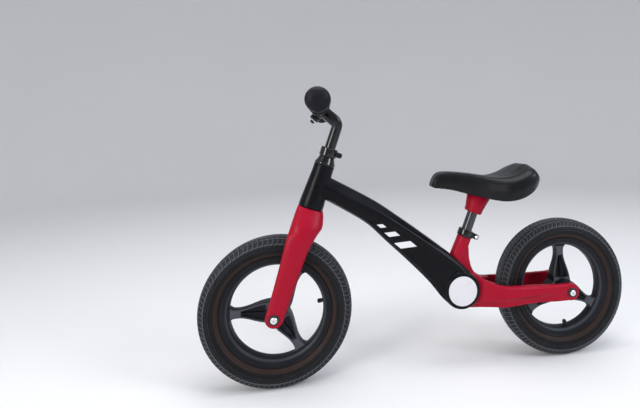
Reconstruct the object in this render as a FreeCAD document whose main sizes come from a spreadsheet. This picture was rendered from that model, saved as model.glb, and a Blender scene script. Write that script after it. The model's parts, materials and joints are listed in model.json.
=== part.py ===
import FreeCAD, Part
import math
import os

import Sketcher
from FreeCAD import Placement, Rotation, Vector

# A child's balance bike. +X is forward, +Y is the rider's left, +Z is up, in millimetres.
# The origin is on the ground, midway between the hubs, in the bike's middle plane.

SIZES = {
    # Whole bike
    "wheelbase": 614.0, "tyre_radius": 148.5, "head_angle": 71.0, "seat_angle": 68.0,
    # Tyre, tube and wheel casting, as radii and half widths
    "tread_half": 8.0, "tyre_half": 23.5, "tyre_wall": 4.5, "bead_radius": 101.8,
    "tube_centre_radius": 122.5, "tube_outer": 16.8, "tube_inner": 15.6,
    "flange_radius": 108.0, "well_radius": 98.0, "rim_open": 90.5, "rim_half": 16.0,
    "hub_radius": 17.0, "hub_half": 30.0, "spoke_half": 8.0, "spoke_root": 19.0,
    "spoke_waist": 8.5, "spoke_end": 22.0, "channel_depth": 3.0, "channel_half": 4.0,
    "valve_radius": 3.6, "valve_angle": 187.0, "valve_cap_low": 80.0, "valve_cap_high": 88.0,
    "valve_stem_end": 105.0,
    # Wheel bearing and axle
    "bearing_outer": 13.0, "bearing_width": 8.0, "axle_radius": 5.0, "running_gap": 0.05,
    "dropout_inner": 38.0, "dropout_outer": 50.0, "spacer_radius": 8.0,
    "screw_radius": 3.0, "screw_length": 20.0, "washer_radius": 10.0, "washer_width": 1.5,
    "screw_head_radius": 6.3, "screw_head_width": 3.2, "hex_flats": 4.0,
    # Head tube and headset, as distances up the steering axis from the front hub
    "head_low": 211.3, "head_high": 302.3, "head_low_radius": 25.5, "head_high_radius": 21.0,
    "head_bore": 17.0, "cup_low_radius": 21.0, "cup_high_radius": 18.6, "headset_width": 7.0,
    "steerer_radius": 14.3, "steerer_bore": 11.2, "steerer_top": 338.5, "cap_top": 320.0,
    "cap_top_radius": 16.0,
    # Stem, handlebar and grips
    "quill_radius": 11.1, "quill_bottom": 260.0, "bar_reach": 44.2, "bar_height": 409.7,
    "elbow_drop": 18.0,
    "bar_radius": 11.1, "bar_half": 194.0, "bar_wall": 2.0, "stem_clamp_radius": 16.2,
    "stem_clamp_half": 21.0, "grip_inner": 106.0, "grip_radius": 15.6, "grip_flange": 20.0,
    "grip_bulb": 21.0, "grip_end": 205.0,
    # Fork blades
    "fork_tip_radius": 17.5, "fork_slot_half": 31.5,
    # Frame castings, as half widths
    "beam_half": 28.0, "boss_x": -70.7, "boss_z": 164.4, "boss_radius": 39.0, "boss_half": 33.0,
    "disc_radius": 30.5, "disc_width": 2.4, "disc_recess": 1.2, "tongue_half": 19.0,
    "cheek_gap": 0.1, "frame_bolt_radius": 4.0, "bolt_head_radius": 6.5, "bolt_pocket": 8.0,
    # Seat tube, post and saddle; distances run up the seat axis from the collar's centre
    "collar_x": -90.5, "collar_z": 277.0, "seat_tube_radius": 15.5, "seat_neck_radius": 14.0,
    "post_radius": 11.1, "post_wall": 2.0, "post_bottom": -85.0, "post_bore_bottom": -119.0,
    "collar_radius": 17.0, "collar_half": 7.5, "ear_reach": 24.0,
    "bracket_low": 47.0, "bracket_high": 90.0, "bracket_low_radius": 17.5,
    "bracket_high_radius": 27.0,
    "saddle_floor": 377.0, "saddle_base_width": 5.0,
}

doc = FreeCAD.newDocument("balance_bike")
dims = doc.addObject("Spreadsheet::Sheet", "dims")
for row, (alias, number) in enumerate(SIZES.items(), start=1):
    dims.set(f"A{row}", alias)
    dims.set(f"B{row}", str(number))
    dims.setAlias(f"B{row}", alias)
doc.recompute()


class Size:
    """A length as a number and as the spreadsheet formula that gives it."""

    def __init__(self, number, formula):
        self.number = number
        self.formula = formula

    def __add__(self, other):
        return Size(self.number + value(other), f"({self.formula} + {text(other)})")

    def __sub__(self, other):
        return Size(self.number - value(other), f"({self.formula} - {text(other)})")

    def __mul__(self, factor):
        return Size(self.number * factor, f"({self.formula} * {factor})")

    def __neg__(self):
        return Size(-self.number, f"(0 - {self.formula})")


def value(size):
    return size.number if isinstance(size, Size) else float(size)


def text(size):
    return size.formula if isinstance(size, Size) else str(size)


class Cells:
    """The sheet's cells as attributes, so that d.wheelbase is the size in that cell."""

    def __getattr__(self, alias):
        return Size(float(getattr(dims, alias)), f"dims.{alias}")


d = Cells()
nodes = []

# Directions: every turned piece is drawn about its own Z and then laid along one of these.
UPRIGHT = Rotation()
ALONG_Y = Rotation(Vector(1, 0, 0), -90)
STEER = Rotation(Vector(0, 1, 0), value(d.head_angle) - 90)
SEAT = Rotation(Vector(0, 1, 0), value(d.seat_angle) - 90)

FRONT_HUB = (d.wheelbase * 0.5, 0, d.tyre_radius)
REAR_HUB = (d.wheelbase * -0.5, 0, d.tyre_radius)
BOSS = (d.boss_x, 0, d.boss_z)
COLLAR = (d.collar_x, 0, d.collar_z)


def bind(item, name, size):
    """Set a property and tie it to the sheet."""
    if isinstance(size, Size):
        item.setExpression(name, size.formula)
    else:
        setattr(item, name, size)


def place(item, base=(0, 0, 0), rotation=UPRIGHT):
    item.Placement = Placement(Vector(*[value(size) for size in base]), rotation)
    for axis, size in zip("xyz", base):
        if isinstance(size, Size):
            item.setExpression(f"Placement.Base.{axis}", size.formula)
    return item


def along(base, rotation, offset):
    """The point at a local offset (x, y, z) from base, after the rotation."""
    moved = rotation.multVec(Vector(*[value(size) for size in offset]))
    return tuple(value(start) + step for start, step in zip(base, moved))


def node(item, name):
    """Make an object one of the bike's pieces."""
    item.Label = name
    nodes.append(item)
    return item


def origin_plane(body, role):
    return next(part for part in body.Origin.OriginFeatures if part.Role == role)


def draw(sketch, corners):
    """A closed outline of straight lines, every corner tied to the sheet."""
    points = [Vector(value(u), value(v), 0) for u, v in corners]
    count = len(points)
    for start in range(count):
        sketch.addGeometry(Part.LineSegment(points[start], points[(start + 1) % count]))
    for start in range(count):
        sketch.addConstraint(Sketcher.Constraint("Coincident", start, 2, (start + 1) % count, 1))
    for start, corner in enumerate(corners):
        for kind, size in zip(("DistanceX", "DistanceY"), corner):
            rule = Sketcher.Constraint(kind, -1, 1, start, 1, value(size))
            index = sketch.addConstraint(rule)
            if isinstance(size, Size):
                sketch.setExpression(f"Constraints[{index}]", size.formula)


def body_sketch(body, role, corners, name="outline"):
    sketch = body.newObject("Sketcher::SketchObject", f"{body.Name}_{name}")
    sketch.AttachmentSupport = [(origin_plane(body, role), "")]
    sketch.MapMode = "FlatFace"
    draw(sketch, corners)
    return sketch


def turned(name, corners, base=(0, 0, 0), rotation=UPRIGHT):
    """A body turned about its own Z from an outline of (radius, height) corners."""
    body = doc.addObject("PartDesign::Body", name)
    sketch = body_sketch(body, "XZ_Plane", corners)
    turn = body.newObject("PartDesign::Revolution", f"{body.Name}_turn")
    turn.Profile = sketch
    turn.ReferenceAxis = (sketch, ["V_Axis"])
    turn.Angle = 360
    return place(body, base, rotation)


def rod(name, radius, low, high, base, rotation):
    return turned(name, [(0, low), (radius, low), (radius, high), (0, high)], base, rotation)


def ring(name, inner, outer, low, high, base, rotation):
    corners = [(inner, low), (outer, low), (outer, high), (inner, high)]
    return turned(name, corners, base, rotation)


def rounded(corners):
    """Edges of a closed outline of (u, v, corner radius), with an arc at each rounded corner."""
    count = len(corners)
    ends = []
    for index, (u, v, radius) in enumerate(corners):
        corner = Vector(u, v, 0)
        if radius == 0:
            ends.append((corner, corner, corner))
            continue
        before = (Vector(*corners[index - 1][:2], 0) - corner).normalize()
        after = (Vector(*corners[(index + 1) % count][:2], 0) - corner).normalize()
        half_angle = before.getAngle(after) / 2
        reach = radius / math.tan(half_angle)
        bisector = (before + after).normalize()
        middle = corner + bisector * (radius / math.sin(half_angle) - radius)
        ends.append((corner + before * reach, middle, corner + after * reach))
    edges = []
    for index, (first, middle, last) in enumerate(ends):
        if not first.isEqual(last, 1e-6):
            edges.append(Part.Arc(first, middle, last))
        following = ends[(index + 1) % count][0]
        if not last.isEqual(following, 1e-6):
            edges.append(Part.LineSegment(last, following))
    return edges


def slab(name, role, corners, low, high):
    """A rounded outline on an origin plane, padded from low to high across that plane."""
    body = doc.addObject("PartDesign::Body", name)
    sketch = body.newObject("Sketcher::SketchObject", f"{body.Name}_outline")
    sketch.AttachmentSupport = [(origin_plane(body, role), "")]
    sketch.MapMode = "FlatFace"
    for edge in rounded([(value(u), value(v), r) for u, v, r in corners]):
        sketch.addGeometry(edge)
    # The XZ plane faces -Y, so its pads are measured the other way.
    across = -1 if role == "XZ_Plane" else 1
    start, end = sorted((across * value(low), across * value(high)))
    sketch.AttachmentOffset = Placement(Vector(0, 0, start), UPRIGHT)
    pad = body.newObject("PartDesign::Pad", f"{body.Name}_pad")
    pad.Profile = sketch
    pad.Length = end - start
    return body


def plate(name, role, corners, half):
    """A slab of half width `half` each side of its plane, tied to the sheet."""
    body = slab(name, role, corners, -value(half), half)
    if isinstance(half, Size):
        pad = body.Tip
        pad.setExpression("Length", (half * 2).formula)
        pad.Profile[0].setExpression("AttachmentOffset.Base.z", (-half).formula)
    return body


def join(name, kind, items):
    """A boolean of several objects: MultiFuse, MultiCommon or Compound."""
    result = doc.addObject(f"Part::{kind}", name)
    if kind == "Compound":
        result.Links = items
    else:
        result.Shapes = items
    return result


def cut(name, base, tools):
    result = doc.addObject("Part::Cut", name)
    result.Base = base
    result.Tool = tools[0] if len(tools) == 1 else join(f"{name}_tools", "MultiFuse", tools)
    return result


def mirrored(item):
    """The same piece on the other side of the middle plane."""
    copy = doc.addObject("Part::Mirroring", f"{item.Name}_mirror")
    copy.Source = item
    copy.Normal = Vector(0, 1, 0)
    return copy


def both_sides(name, item):
    return node(join(name, "Compound", [item, mirrored(item)]), name)


def brick(name, low, high, base=(0, 0, 0), rotation=UPRIGHT):
    """A box between two corners of a turned frame."""
    box = doc.addObject("Part::Box", name)
    for side, start, end in zip(("Length", "Width", "Height"), low, high):
        setattr(box, side, value(end) - value(start))
    return place(box, along(base, rotation, low), rotation)


def softened(name, base, radius, chosen):
    """Fillets of one radius on the edges that chosen() picks."""
    doc.recompute()
    fillet = doc.addObject("Part::Fillet", name)
    fillet.Base = base
    picked = [i for i, edge in enumerate(base.Shape.Edges, start=1) if chosen(edge)]
    fillet.Edges = [(index, radius, radius) for index in picked]
    return fillet


def drilled_bolt(name, shank, length, head, width, base, rotation):
    """A socket-head bolt: head outwards at +Z of its frame, shank inwards."""
    solid = turned(f"{name}_blank", [
        (0, -length), (shank, -length), (shank, 0), (head, 0),
        (head, width * 0.75), (head - width * 0.3, width), (0, width),
    ], base, rotation)
    socket = doc.addObject("Part::Prism", f"{name}_socket")
    socket.Polygon = 6
    bind(socket, "Circumradius", d.hex_flats * 0.577)
    socket.Height = 4
    place(socket, along(base, rotation, (0, 0, width - 2)), rotation)
    return cut(name, solid, [socket])


def make_axle(side, hub):
    """A fixed axle with spacers, washers and a bolt into each end."""
    core = rod(f"{side}_axle_rod", d.axle_radius, -d.dropout_inner, d.dropout_inner, hub, ALONG_Y)
    taps = []
    for way in (1, -1):
        low, high = sorted((way * 17, way * 39))
        taps.append(rod(f"{side}_axle_tap", d.screw_radius, low, high, hub, ALONG_Y))
    node(cut(f"{side}_axle", core, taps), f"{side}_axle")
    inner = d.hub_half + 0.3
    spacer = ring(f"{side}_spacer", d.axle_radius, d.spacer_radius, inner, d.dropout_inner, hub,
                  ALONG_Y)
    both_sides(f"{side}_axle_spacers", spacer)
    washer_end = d.dropout_outer + d.washer_width
    washer = ring(f"{side}_washer", d.screw_radius, d.washer_radius, d.dropout_outer, washer_end,
                  hub, ALONG_Y)
    both_sides(f"{side}_axle_washers", washer)
    seat = along(hub, ALONG_Y, (0, 0, washer_end))
    length = value(washer_end) - value(d.screw_length)
    bolt = drilled_bolt(f"{side}_bolt", d.screw_radius, length, d.screw_head_radius,
                        d.screw_head_width, seat, ALONG_Y)
    both_sides(f"{side}_axle_bolts", bolt)


def mirror_profile(upper):
    """The upper half of a turned profile, followed by the same corners below the middle."""
    return upper + [(radius, -height) for radius, height in reversed(upper)]


def make_wheel(side, hub, turn):
    """Tyre, tube, one-piece casting, bearings, spacer and valve, drawn about the hub's Z."""
    rotation = Rotation(Vector(0, 1, 0), turn) * ALONG_Y
    seat_half = d.rim_half - 2.7
    outside = [
        (d.tyre_radius, d.tread_half), (146, d.tyre_half - 7.5), (139, d.tyre_half - 2),
        (128, d.tyre_half), (116, d.tyre_half - 2.5), (d.flange_radius + 1.5, d.rim_half + 0.5),
        (d.flange_radius + 0.3, seat_half), (d.bead_radius, seat_half),
    ]
    cavity = [
        (d.bead_radius, seat_half - 3.5), (108, 10.5), (113, 14.5), (118, 17.5),
        (128, d.tyre_half - d.tyre_wall), (137, 17.5), (142, 13),
        (d.tyre_radius - d.tyre_wall, 6),
    ]
    below = [(radius, -size) for radius, size in outside]
    lining = [(radius, -size) for radius, size in reversed(cavity)]
    tyre = outside + cavity + lining + below[::-1]
    node(turned(f"{side}_tyre", tyre, hub, rotation), f"{side}_tyre")

    for name, radius in (("skin", d.tube_outer), ("air", d.tube_inner)):
        torus = doc.addObject("Part::Torus", f"{side}_tube_{name}")
        bind(torus, "Radius1", d.tube_centre_radius)
        bind(torus, "Radius2", radius)
        place(torus, hub, rotation)
    tube = cut(f"{side}_inner_tube", doc.getObject(f"{side}_tube_skin"),
               [doc.getObject(f"{side}_tube_air")])
    node(tube, f"{side}_inner_tube")

    casting = doc.addObject("PartDesign::Body", f"{side}_casting")
    rim_profile = mirror_profile([
        (d.rim_open, d.spoke_half), (d.rim_open + 4, d.rim_half), (d.flange_radius, d.rim_half),
        (d.flange_radius, seat_half + 0.1), (d.bead_radius - 0.1, seat_half + 0.1),
        (d.bead_radius - 0.1, seat_half - 3.8), (d.well_radius, seat_half - 5.5),
    ])
    rim = casting.newObject("PartDesign::Revolution", f"{side}_rim")
    rim.Profile = body_sketch(casting, "XZ_Plane", rim_profile, "rim")
    rim.ReferenceAxis = (rim.Profile[0], ["V_Axis"])
    rim.Angle = 360
    spoke_corners = [
        (0, -d.spoke_root), (22, -d.spoke_root), (76, -d.spoke_waist), (94, -d.spoke_end),
        (94, d.spoke_end), (76, d.spoke_waist), (22, d.spoke_root), (0, d.spoke_root),
    ]
    spoke = casting.newObject("PartDesign::Pad", f"{side}_spoke")
    spoke.Profile = body_sketch(casting, "XY_Plane", spoke_corners, "spoke")
    spoke.SideType = "Symmetric"
    bind(spoke, "Length", d.spoke_half * 2)
    doc.recompute()
    star = casting.newObject("PartDesign::PolarPattern", f"{side}_star")
    star.Originals = [spoke]
    star.Axis = (origin_plane(casting, "Z_Axis"), [""])
    star.Angle = 360
    star.Occurrences = 3
    casting.Tip = star
    place(casting, hub, rotation)
    hub_shell = rod(f"{side}_hub_shell", d.hub_radius, -d.hub_half, d.hub_half, hub, rotation)
    drills = [rod(f"{side}_hub_bore", d.bearing_outer - 1.5, -31, 31, hub, rotation)]
    pocket = d.hub_half - d.bearing_width
    for low, high in ((pocket, 31), (-31, -pocket)):
        drills.append(rod(f"{side}_bearing_pocket", d.bearing_outer, low, high, hub, rotation))
    valve_turn = rotation * Rotation(Vector(0, 0, 1), value(d.valve_angle))
    valve_turn = valve_turn * Rotation(Vector(0, 1, 0), 90)
    drills.append(rod(f"{side}_valve_hole", d.valve_radius + 0.1, 85, 104, hub, valve_turn))
    for index in range(3):
        spin = rotation * Rotation(Vector(0, 0, 1), index * 120)
        for face in (1, -1):
            low, high = sorted((face * 9, face * (value(d.spoke_half) - value(d.channel_depth))))
            drills.append(brick(f"{side}_channel", (28, -d.channel_half, low),
                                (82, d.channel_half, high), hub, spin))
    solid = join(f"{side}_wheel_solid", "MultiFuse", [casting, hub_shell])
    node(cut(f"{side}_wheel", solid, drills), f"{side}_wheel")

    bearing = ring(f"{side}_bearing", d.axle_radius + d.running_gap, d.bearing_outer, pocket,
                   d.hub_half, hub, ALONG_Y)
    both_sides(f"{side}_wheel_bearings", bearing)
    node(ring(f"{side}_bearing_spacer", d.axle_radius + 0.6, d.axle_radius + 2.5, -pocket, pocket,
              hub, ALONG_Y), f"{side}_bearing_spacer")
    node(rod(f"{side}_valve_stem", d.valve_radius, d.valve_cap_high, d.valve_stem_end, hub,
             valve_turn), f"{side}_valve_stem")
    node(rod(f"{side}_valve_cap", d.valve_radius + 1, d.valve_cap_low, d.valve_cap_high, hub,
             valve_turn), f"{side}_valve_cap")


def make_fork():
    """Crown and blades: a side outline and a front outline carried through each other."""
    tip = value(d.fork_tip_radius)
    low = value(d.head_low)
    side = slab("fork_side", "XZ_Plane", [
        (25.5, low, 0), (26.5, 165, 200), (22.6, 91, 300), (tip, 0, 0), (tip, -tip, tip - 0.1),
        (-tip, -tip, tip - 0.1), (-20, 80, 200), (-20.5, 130, 120), (-36, 178, 12),
        (-29, 202, 12), (-25.5, low, 0),
    ], -51, 51)
    slot = value(d.fork_slot_half)
    inner = value(d.dropout_inner)
    outer = value(d.dropout_outer)
    front = slab("fork_front", "YZ_Plane", [
        (-25.5, low, 0), (-29, 200, 20), (-47, 182, 22), (-outer, 140, 60), (-outer, -20, 0),
        (-inner, -20, 0), (-inner, 28, 20), (-slot, 62, 20), (-slot, 162, 26), (slot, 162, 26),
        (slot, 62, 20), (inner, 28, 20), (inner, -20, 0), (outer, -20, 0), (outer, 140, 60),
        (47, 182, 22), (29, 200, 20), (25.5, low, 0),
    ], -45, 45)
    blades = join("fork_blades", "MultiCommon", [side, front])
    for item in (side, front):
        place(item, FRONT_HUB, STEER)
    steerer = rod("steerer", d.steerer_radius, d.head_low - 25, d.steerer_top, FRONT_HUB, STEER)
    holes = [
        rod("steerer_bore", d.steerer_bore, d.head_low - 12, 345, FRONT_HUB, STEER),
        rod("fork_dropout_holes", d.screw_radius + 0.1, -52, 52, FRONT_HUB, ALONG_Y),
        brick("steerer_slit", (-20, -1, 318), (0, 1, 345), FRONT_HUB, STEER),
    ]
    node(cut("fork", join("fork_solid", "MultiFuse", [blades, steerer]), holes), "fork")


def make_headset():
    """Two cartridge bearings held in the head tube, a crown race below and a cover above."""
    low_top = d.head_low + d.headset_width
    high_bottom = d.head_high - d.headset_width
    inner = d.steerer_radius + d.running_gap
    node(ring("headset_bearing_lower", inner + 1.5, d.cup_low_radius, d.head_low + 0.6, low_top,
              FRONT_HUB, STEER), "headset_bearing_lower")
    node(ring("headset_bearing_upper", inner, d.cup_high_radius, high_bottom, d.head_high - 0.4,
              FRONT_HUB, STEER), "headset_bearing_upper")
    node(turned("crown_race", [
        (d.steerer_radius, d.head_low), (19.5, d.head_low), (19.5, d.head_low + 0.4),
        (inner + 1.4, d.head_low + 0.5), (inner + 1.4, d.head_low + 5.5),
        (d.steerer_radius, d.head_low + 5.5),
    ], FRONT_HUB, STEER), "crown_race")
    node(turned("headset_cap", [
        (d.steerer_radius, d.head_high + 0.4), (d.head_high_radius, d.head_high + 0.4),
        (d.head_high_radius, d.head_high + 3), (d.head_high_radius - 2, d.head_high + 7),
        (d.cap_top_radius, d.cap_top - 2), (d.cap_top_radius - 1, d.cap_top),
        (d.steerer_radius, d.cap_top),
    ], FRONT_HUB, STEER), "headset_cap")


def make_clamp(name, base, rotation, inner, outer, low, high, reach, nut):
    """A split collar with a pair of ears behind it, a cross bolt and its nut."""
    middle = (value(low) + value(high)) / 2
    band = ring(f"{name}_band", inner, outer, low, high, base, rotation)
    ears = brick(f"{name}_ears", (-value(reach) - 5.5, -8.5, middle - 5.5),
                 (-value(outer) + 2, 8.5, middle + 5.5), base, rotation)
    slit = brick(f"{name}_slit", (-value(reach) - 7, -1.2, value(low) - 1),
                 (-value(inner) + 1, 1.2, value(high) + 1), base, rotation)
    centre = along(base, rotation, (-value(reach), 0, middle))
    hole = rod(f"{name}_hole", 2.6, -10, 10, centre, ALONG_Y)
    solid = join(f"{name}_solid", "MultiFuse", [band, ears])
    node(cut(f"{name}_collar", solid, [slit, hole]), f"{name}_collar")
    head = along(centre, UPRIGHT, (0, 8.5, 0))
    node(drilled_bolt(f"{name}_bolt", 2.5, 20, 4.4, 4, head, ALONG_Y), f"{name}_bolt")
    ring_nut = doc.addObject("Part::Prism", f"{name}_nut_blank")
    ring_nut.Polygon = 6
    ring_nut.Circumradius = nut
    ring_nut.Height = 4
    place(ring_nut, along(centre, UPRIGHT, (0, -12.5, 0)), ALONG_Y)
    bore = rod(f"{name}_nut_bore", 2.5, -14, -8, centre, ALONG_Y)
    node(cut(f"{name}_nut", ring_nut, [bore]), f"{name}_nut")


def make_handlebar():
    """Quill tube, elbow, reach and bar clamp in one stem, with the bar and its grips."""
    bar = along(FRONT_HUB, STEER, (d.bar_reach, 0, d.bar_height))
    elbow = value(d.bar_height - d.elbow_drop)
    lift = math.degrees(math.atan2(value(d.elbow_drop), value(d.bar_reach)))
    reach_turn = STEER * Rotation(Vector(0, 1, 0), -lift)
    quill = rod("quill", d.quill_radius, d.quill_bottom, elbow, FRONT_HUB, STEER)
    knee = doc.addObject("Part::Sphere", "stem_knee")
    bind(knee, "Radius", d.quill_radius + 0.4)
    place(knee, along(FRONT_HUB, STEER, (0, 0, elbow)), STEER)
    length = math.hypot(value(d.bar_reach), value(d.elbow_drop))
    reach = rod("stem_reach", d.quill_radius + 0.4, 0, length,
                along(FRONT_HUB, STEER, (0, 0, elbow)), reach_turn * Rotation(Vector(0, 1, 0), 90))
    clamp = rod("stem_clamp_shell", d.stem_clamp_radius, -d.stem_clamp_half, d.stem_clamp_half,
                bar, ALONG_Y)
    ears = brick("stem_pinch_ears", (-13, -9, -27), (4, 9, -8), bar, reach_turn)
    holes = [
        rod("stem_bar_bore", d.bar_radius, -30, 30, bar, ALONG_Y),
        brick("stem_pinch_slit", (-14, -25, -18.5), (-4, 25, -16.5), bar, reach_turn),
        rod("stem_pinch_hole", 3, -29, -9, along(bar, reach_turn, (-5, 0, 0)), reach_turn),
        rod("quill_bore", d.quill_radius - d.post_wall, d.quill_bottom - 1, 385, FRONT_HUB,
            STEER),
    ]
    solid = join("stem_solid", "MultiFuse", [quill, knee, reach, clamp, ears])
    node(cut("stem", solid, holes), "stem")
    pinch = along(bar, reach_turn, (-5, 0, -28.5))
    down = reach_turn * Rotation(Vector(1, 0, 0), 180)
    node(drilled_bolt("stem_pinch_bolt", 2.9, 16, 4.6, 5, pinch, down), "stem_pinch_bolt")
    node(ring("stem_pinch_washer", 2.9, 6, 0, 1.5, pinch, reach_turn), "stem_pinch_washer")
    node(ring("handlebar", d.bar_radius - d.bar_wall, d.bar_radius, -d.bar_half, d.bar_half, bar,
              ALONG_Y), "handlebar")
    grip_profile = [
        (d.bar_radius, d.grip_inner), (d.grip_flange - 2, d.grip_inner),
        (d.grip_flange, d.grip_inner + 2), (d.grip_flange, d.grip_inner + 5),
        (d.grip_radius, d.grip_inner + 9), (d.grip_radius, d.grip_end - 30),
        (d.grip_bulb - 2, d.grip_end - 23), (d.grip_bulb, d.grip_end - 16),
        (d.grip_bulb, d.grip_end - 10), (d.grip_bulb - 4, d.grip_end - 3),
        (d.grip_bulb - 11, d.grip_end), (0, d.grip_end), (0, d.bar_half), (d.bar_radius, d.bar_half),
    ]
    grip = node(turned("grip_left", grip_profile, bar, ALONG_Y), "grip_left")
    node(mirrored(grip), "grip_right")


def make_front_frame():
    """Head tube, beam and two cheeks: one black casting."""
    half = value(d.beam_half)
    side = slab("beam_side", "XZ_Plane", [
        (212, 405, 0), (184.6, 400.7, 0), (54.3, 318.7, 400), (-56.8, 232.5, 200),
        (-98.2, 191.8, 0), (value(d.boss_x), value(d.boss_z), 0), (-43.2, 136.8, 0),
        (108.8, 295.9, 120), (175.5, 344.3, 60), (236, 362, 0),
    ], -40, 40)
    plan = slab("beam_plan", "XY_Plane", [
        (240, -18, 0), (170, -22, 40), (110, -half, 60), (-115, -half, 0), (-115, half, 0),
        (110, half, 60), (170, 22, 40), (240, 18, 0),
    ], 100, 420)
    beam = join("beam_block", "MultiCommon", [side, plan])
    softened("beam", beam, 9, lambda edge: edge.Length > 60 and abs(
        edge.CenterOfMass.y) > 15 and edge.CenterOfMass.x > -40)
    boss = rod("boss", d.boss_radius, -d.boss_half, d.boss_half, BOSS, ALONG_Y)
    tube = turned("head_tube", [
        (0, d.head_low + 0.5), (d.head_low_radius, d.head_low + 0.5),
        (d.head_low_radius, d.head_low + 12), (d.head_high_radius, d.head_high - 8),
        (d.head_high_radius, d.head_high), (0, d.head_high),
    ], FRONT_HUB, STEER)
    gap = value(d.tongue_half) + value(d.cheek_gap)
    slot = slab("cheek_slot", "XZ_Plane", tongue_outline(1.5, 60), -gap, gap)
    recess = d.boss_half - d.disc_recess
    cuts = [
        slot,
        rod("head_bore", d.head_bore, 200, 310, FRONT_HUB, STEER),
        rod("cup_low", d.cup_low_radius, 200, d.head_low + d.headset_width, FRONT_HUB, STEER),
        rod("cup_high", d.cup_high_radius, d.head_high - d.headset_width, 310, FRONT_HUB, STEER),
        rod("boss_hole", d.frame_bolt_radius, -40, 40, BOSS, ALONG_Y),
    ]
    for low, high in ((recess, 40), (-40, -recess)):
        cuts.append(rod("disc_recess_cut", d.disc_radius + 0.3, low, high, BOSS, ALONG_Y))
    pocket = recess - d.bolt_pocket
    for low, high in ((pocket, 40), (-40, -pocket)):
        cuts.append(rod("bolt_pocket_cut", d.bolt_head_radius + 1.5, low, high, BOSS, ALONG_Y))
    solid = join("front_frame_solid", "MultiFuse", [doc.beam, boss, tube])
    node(cut("front_frame", solid, cuts), "front_frame")


def tongue_outline(margin, rear_margin):
    """The rear casting's middle: tongue, yoke and seat tube base, from the side."""
    return [
        (-56, 118.3 - rear_margin, 0), (-50 + margin, 119 - rear_margin, 0),
        (-38 + margin, 146, 20), (-27 + margin, 178, 40), (-27 + margin, 208, 40),
        (-44 + margin, 238 + margin, 0), (-57, 239 + rear_margin, 0),
        (-63.2 - rear_margin * 0.6, 247 + rear_margin, 0), (-103.5 - rear_margin, 254, 0),
        (-100 - rear_margin, 222, 30), (-110 - rear_margin, 186, 0),
        (-118 - rear_margin, 122.3 - rear_margin, 0),
    ]


def make_rear_frame():
    """Tongue, seat tube, yoke and two stays with their dropouts: one red casting."""
    hub_x = value(REAR_HUB[0])
    hub_z = value(REAR_HUB[2])
    tip = value(d.fork_tip_radius)
    tongue = slab("tongue_block", "XZ_Plane", tongue_outline(0, 0), -value(d.tongue_half),
                  value(d.tongue_half))
    stays = slab("stay_side", "XZ_Plane", [
        (-96, 118.9, 0), (-164, 125.5, 60), (hub_x, hub_z - tip, 0),
        (hub_x - tip, hub_z - tip, tip - 0.1), (hub_x - tip, hub_z + tip, tip - 0.1),
        (hub_x, hub_z + tip, 0), (-163.4, 169.4, 200), (-124, 172, 40), (-104, 205, 0),
        (-96, 200, 0),
    ], -51, 51)
    inner = value(d.dropout_inner)
    outer = value(d.dropout_outer)
    plan = slab("stay_plan", "XY_Plane", [
        (-90, 18.9, 0), (-112, 18.9, 4), (-124, 40, 14), (-150, outer, 40), (-330, outer, 0),
        (-330, inner, 0), (-275, inner, 20), (-250, 33.5, 20), (-149, 33.5, 24),
        (-149, -33.5, 24), (-250, -33.5, 20), (-275, -inner, 20), (-330, -inner, 0),
        (-330, -outer, 0), (-150, -outer, 40), (-124, -40, 14), (-112, -18.9, 4), (-90, -18.9, 0),
    ], 100, 230)
    yoke = join("stays", "MultiCommon", [stays, plan])
    seat_tube = rod("seat_tube", d.seat_tube_radius, -95, -d.collar_half, COLLAR, SEAT)
    neck = rod("seat_neck", d.seat_neck_radius, -12, d.collar_half, COLLAR, SEAT)
    bore = d.post_radius + d.running_gap
    cuts = [
        rod("post_bore", bore, d.post_bore_bottom, 20, COLLAR, SEAT),
        rod("tongue_hole", d.frame_bolt_radius, -60, 60, BOSS, ALONG_Y),
        rod("stay_dropout_holes", d.screw_radius + 0.1, -60, 60, REAR_HUB, ALONG_Y),
        brick("seat_slit", (-20, -1.2, -18), (0, 1.2, 10), COLLAR, SEAT),
    ]
    solid = join("rear_frame_solid", "MultiFuse", [tongue, yoke, seat_tube, neck])
    node(cut("rear_frame", solid, cuts), "rear_frame")


def make_frame_joint():
    """The through bolt, its nut, the two discs that cover them and the beam's marks."""
    recess = value(d.boss_half) - value(d.disc_recess)
    floor = recess - value(d.bolt_pocket)
    head = along(BOSS, ALONG_Y, (0, 0, floor))
    node(drilled_bolt("frame_bolt", d.frame_bolt_radius, floor * 2 + 6, d.bolt_head_radius, 6,
                      head, ALONG_Y), "frame_bolt")
    blank = doc.addObject("Part::Prism", "frame_nut_blank")
    blank.Polygon = 6
    bind(blank, "Circumradius", d.bolt_head_radius + 0.5)
    blank.Height = 6
    place(blank, along(BOSS, ALONG_Y, (0, 0, -floor - 6)), ALONG_Y)
    hole = rod("frame_nut_bore", d.frame_bolt_radius, -floor - 8, -floor + 1, BOSS, ALONG_Y)
    node(cut("frame_nut", blank, [hole]), "frame_nut")
    left = node(rod("boss_cap_left", d.disc_radius, recess, recess + value(d.disc_width), BOSS,
                    ALONG_Y), "boss_cap_left")
    node(mirrored(left), "boss_cap_right")
    bars = []
    for index, (x, z, length) in enumerate(((102, 312, 14), (82, 296, 24), (59, 275, 40))):
        bar = slab(f"mark_{index}", "XZ_Plane", [
            (x, z, 0), (x - length, z - length * 0.2, 0), (x - length - 12, z - length * 0.2 - 9, 0),
            (x - 9, z - 8, 0),
        ], d.beam_half, d.beam_half + 0.4)
        bars += [bar, mirrored(bar)]
    node(join("beam_marks", "Compound", bars), "beam_marks")


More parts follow.
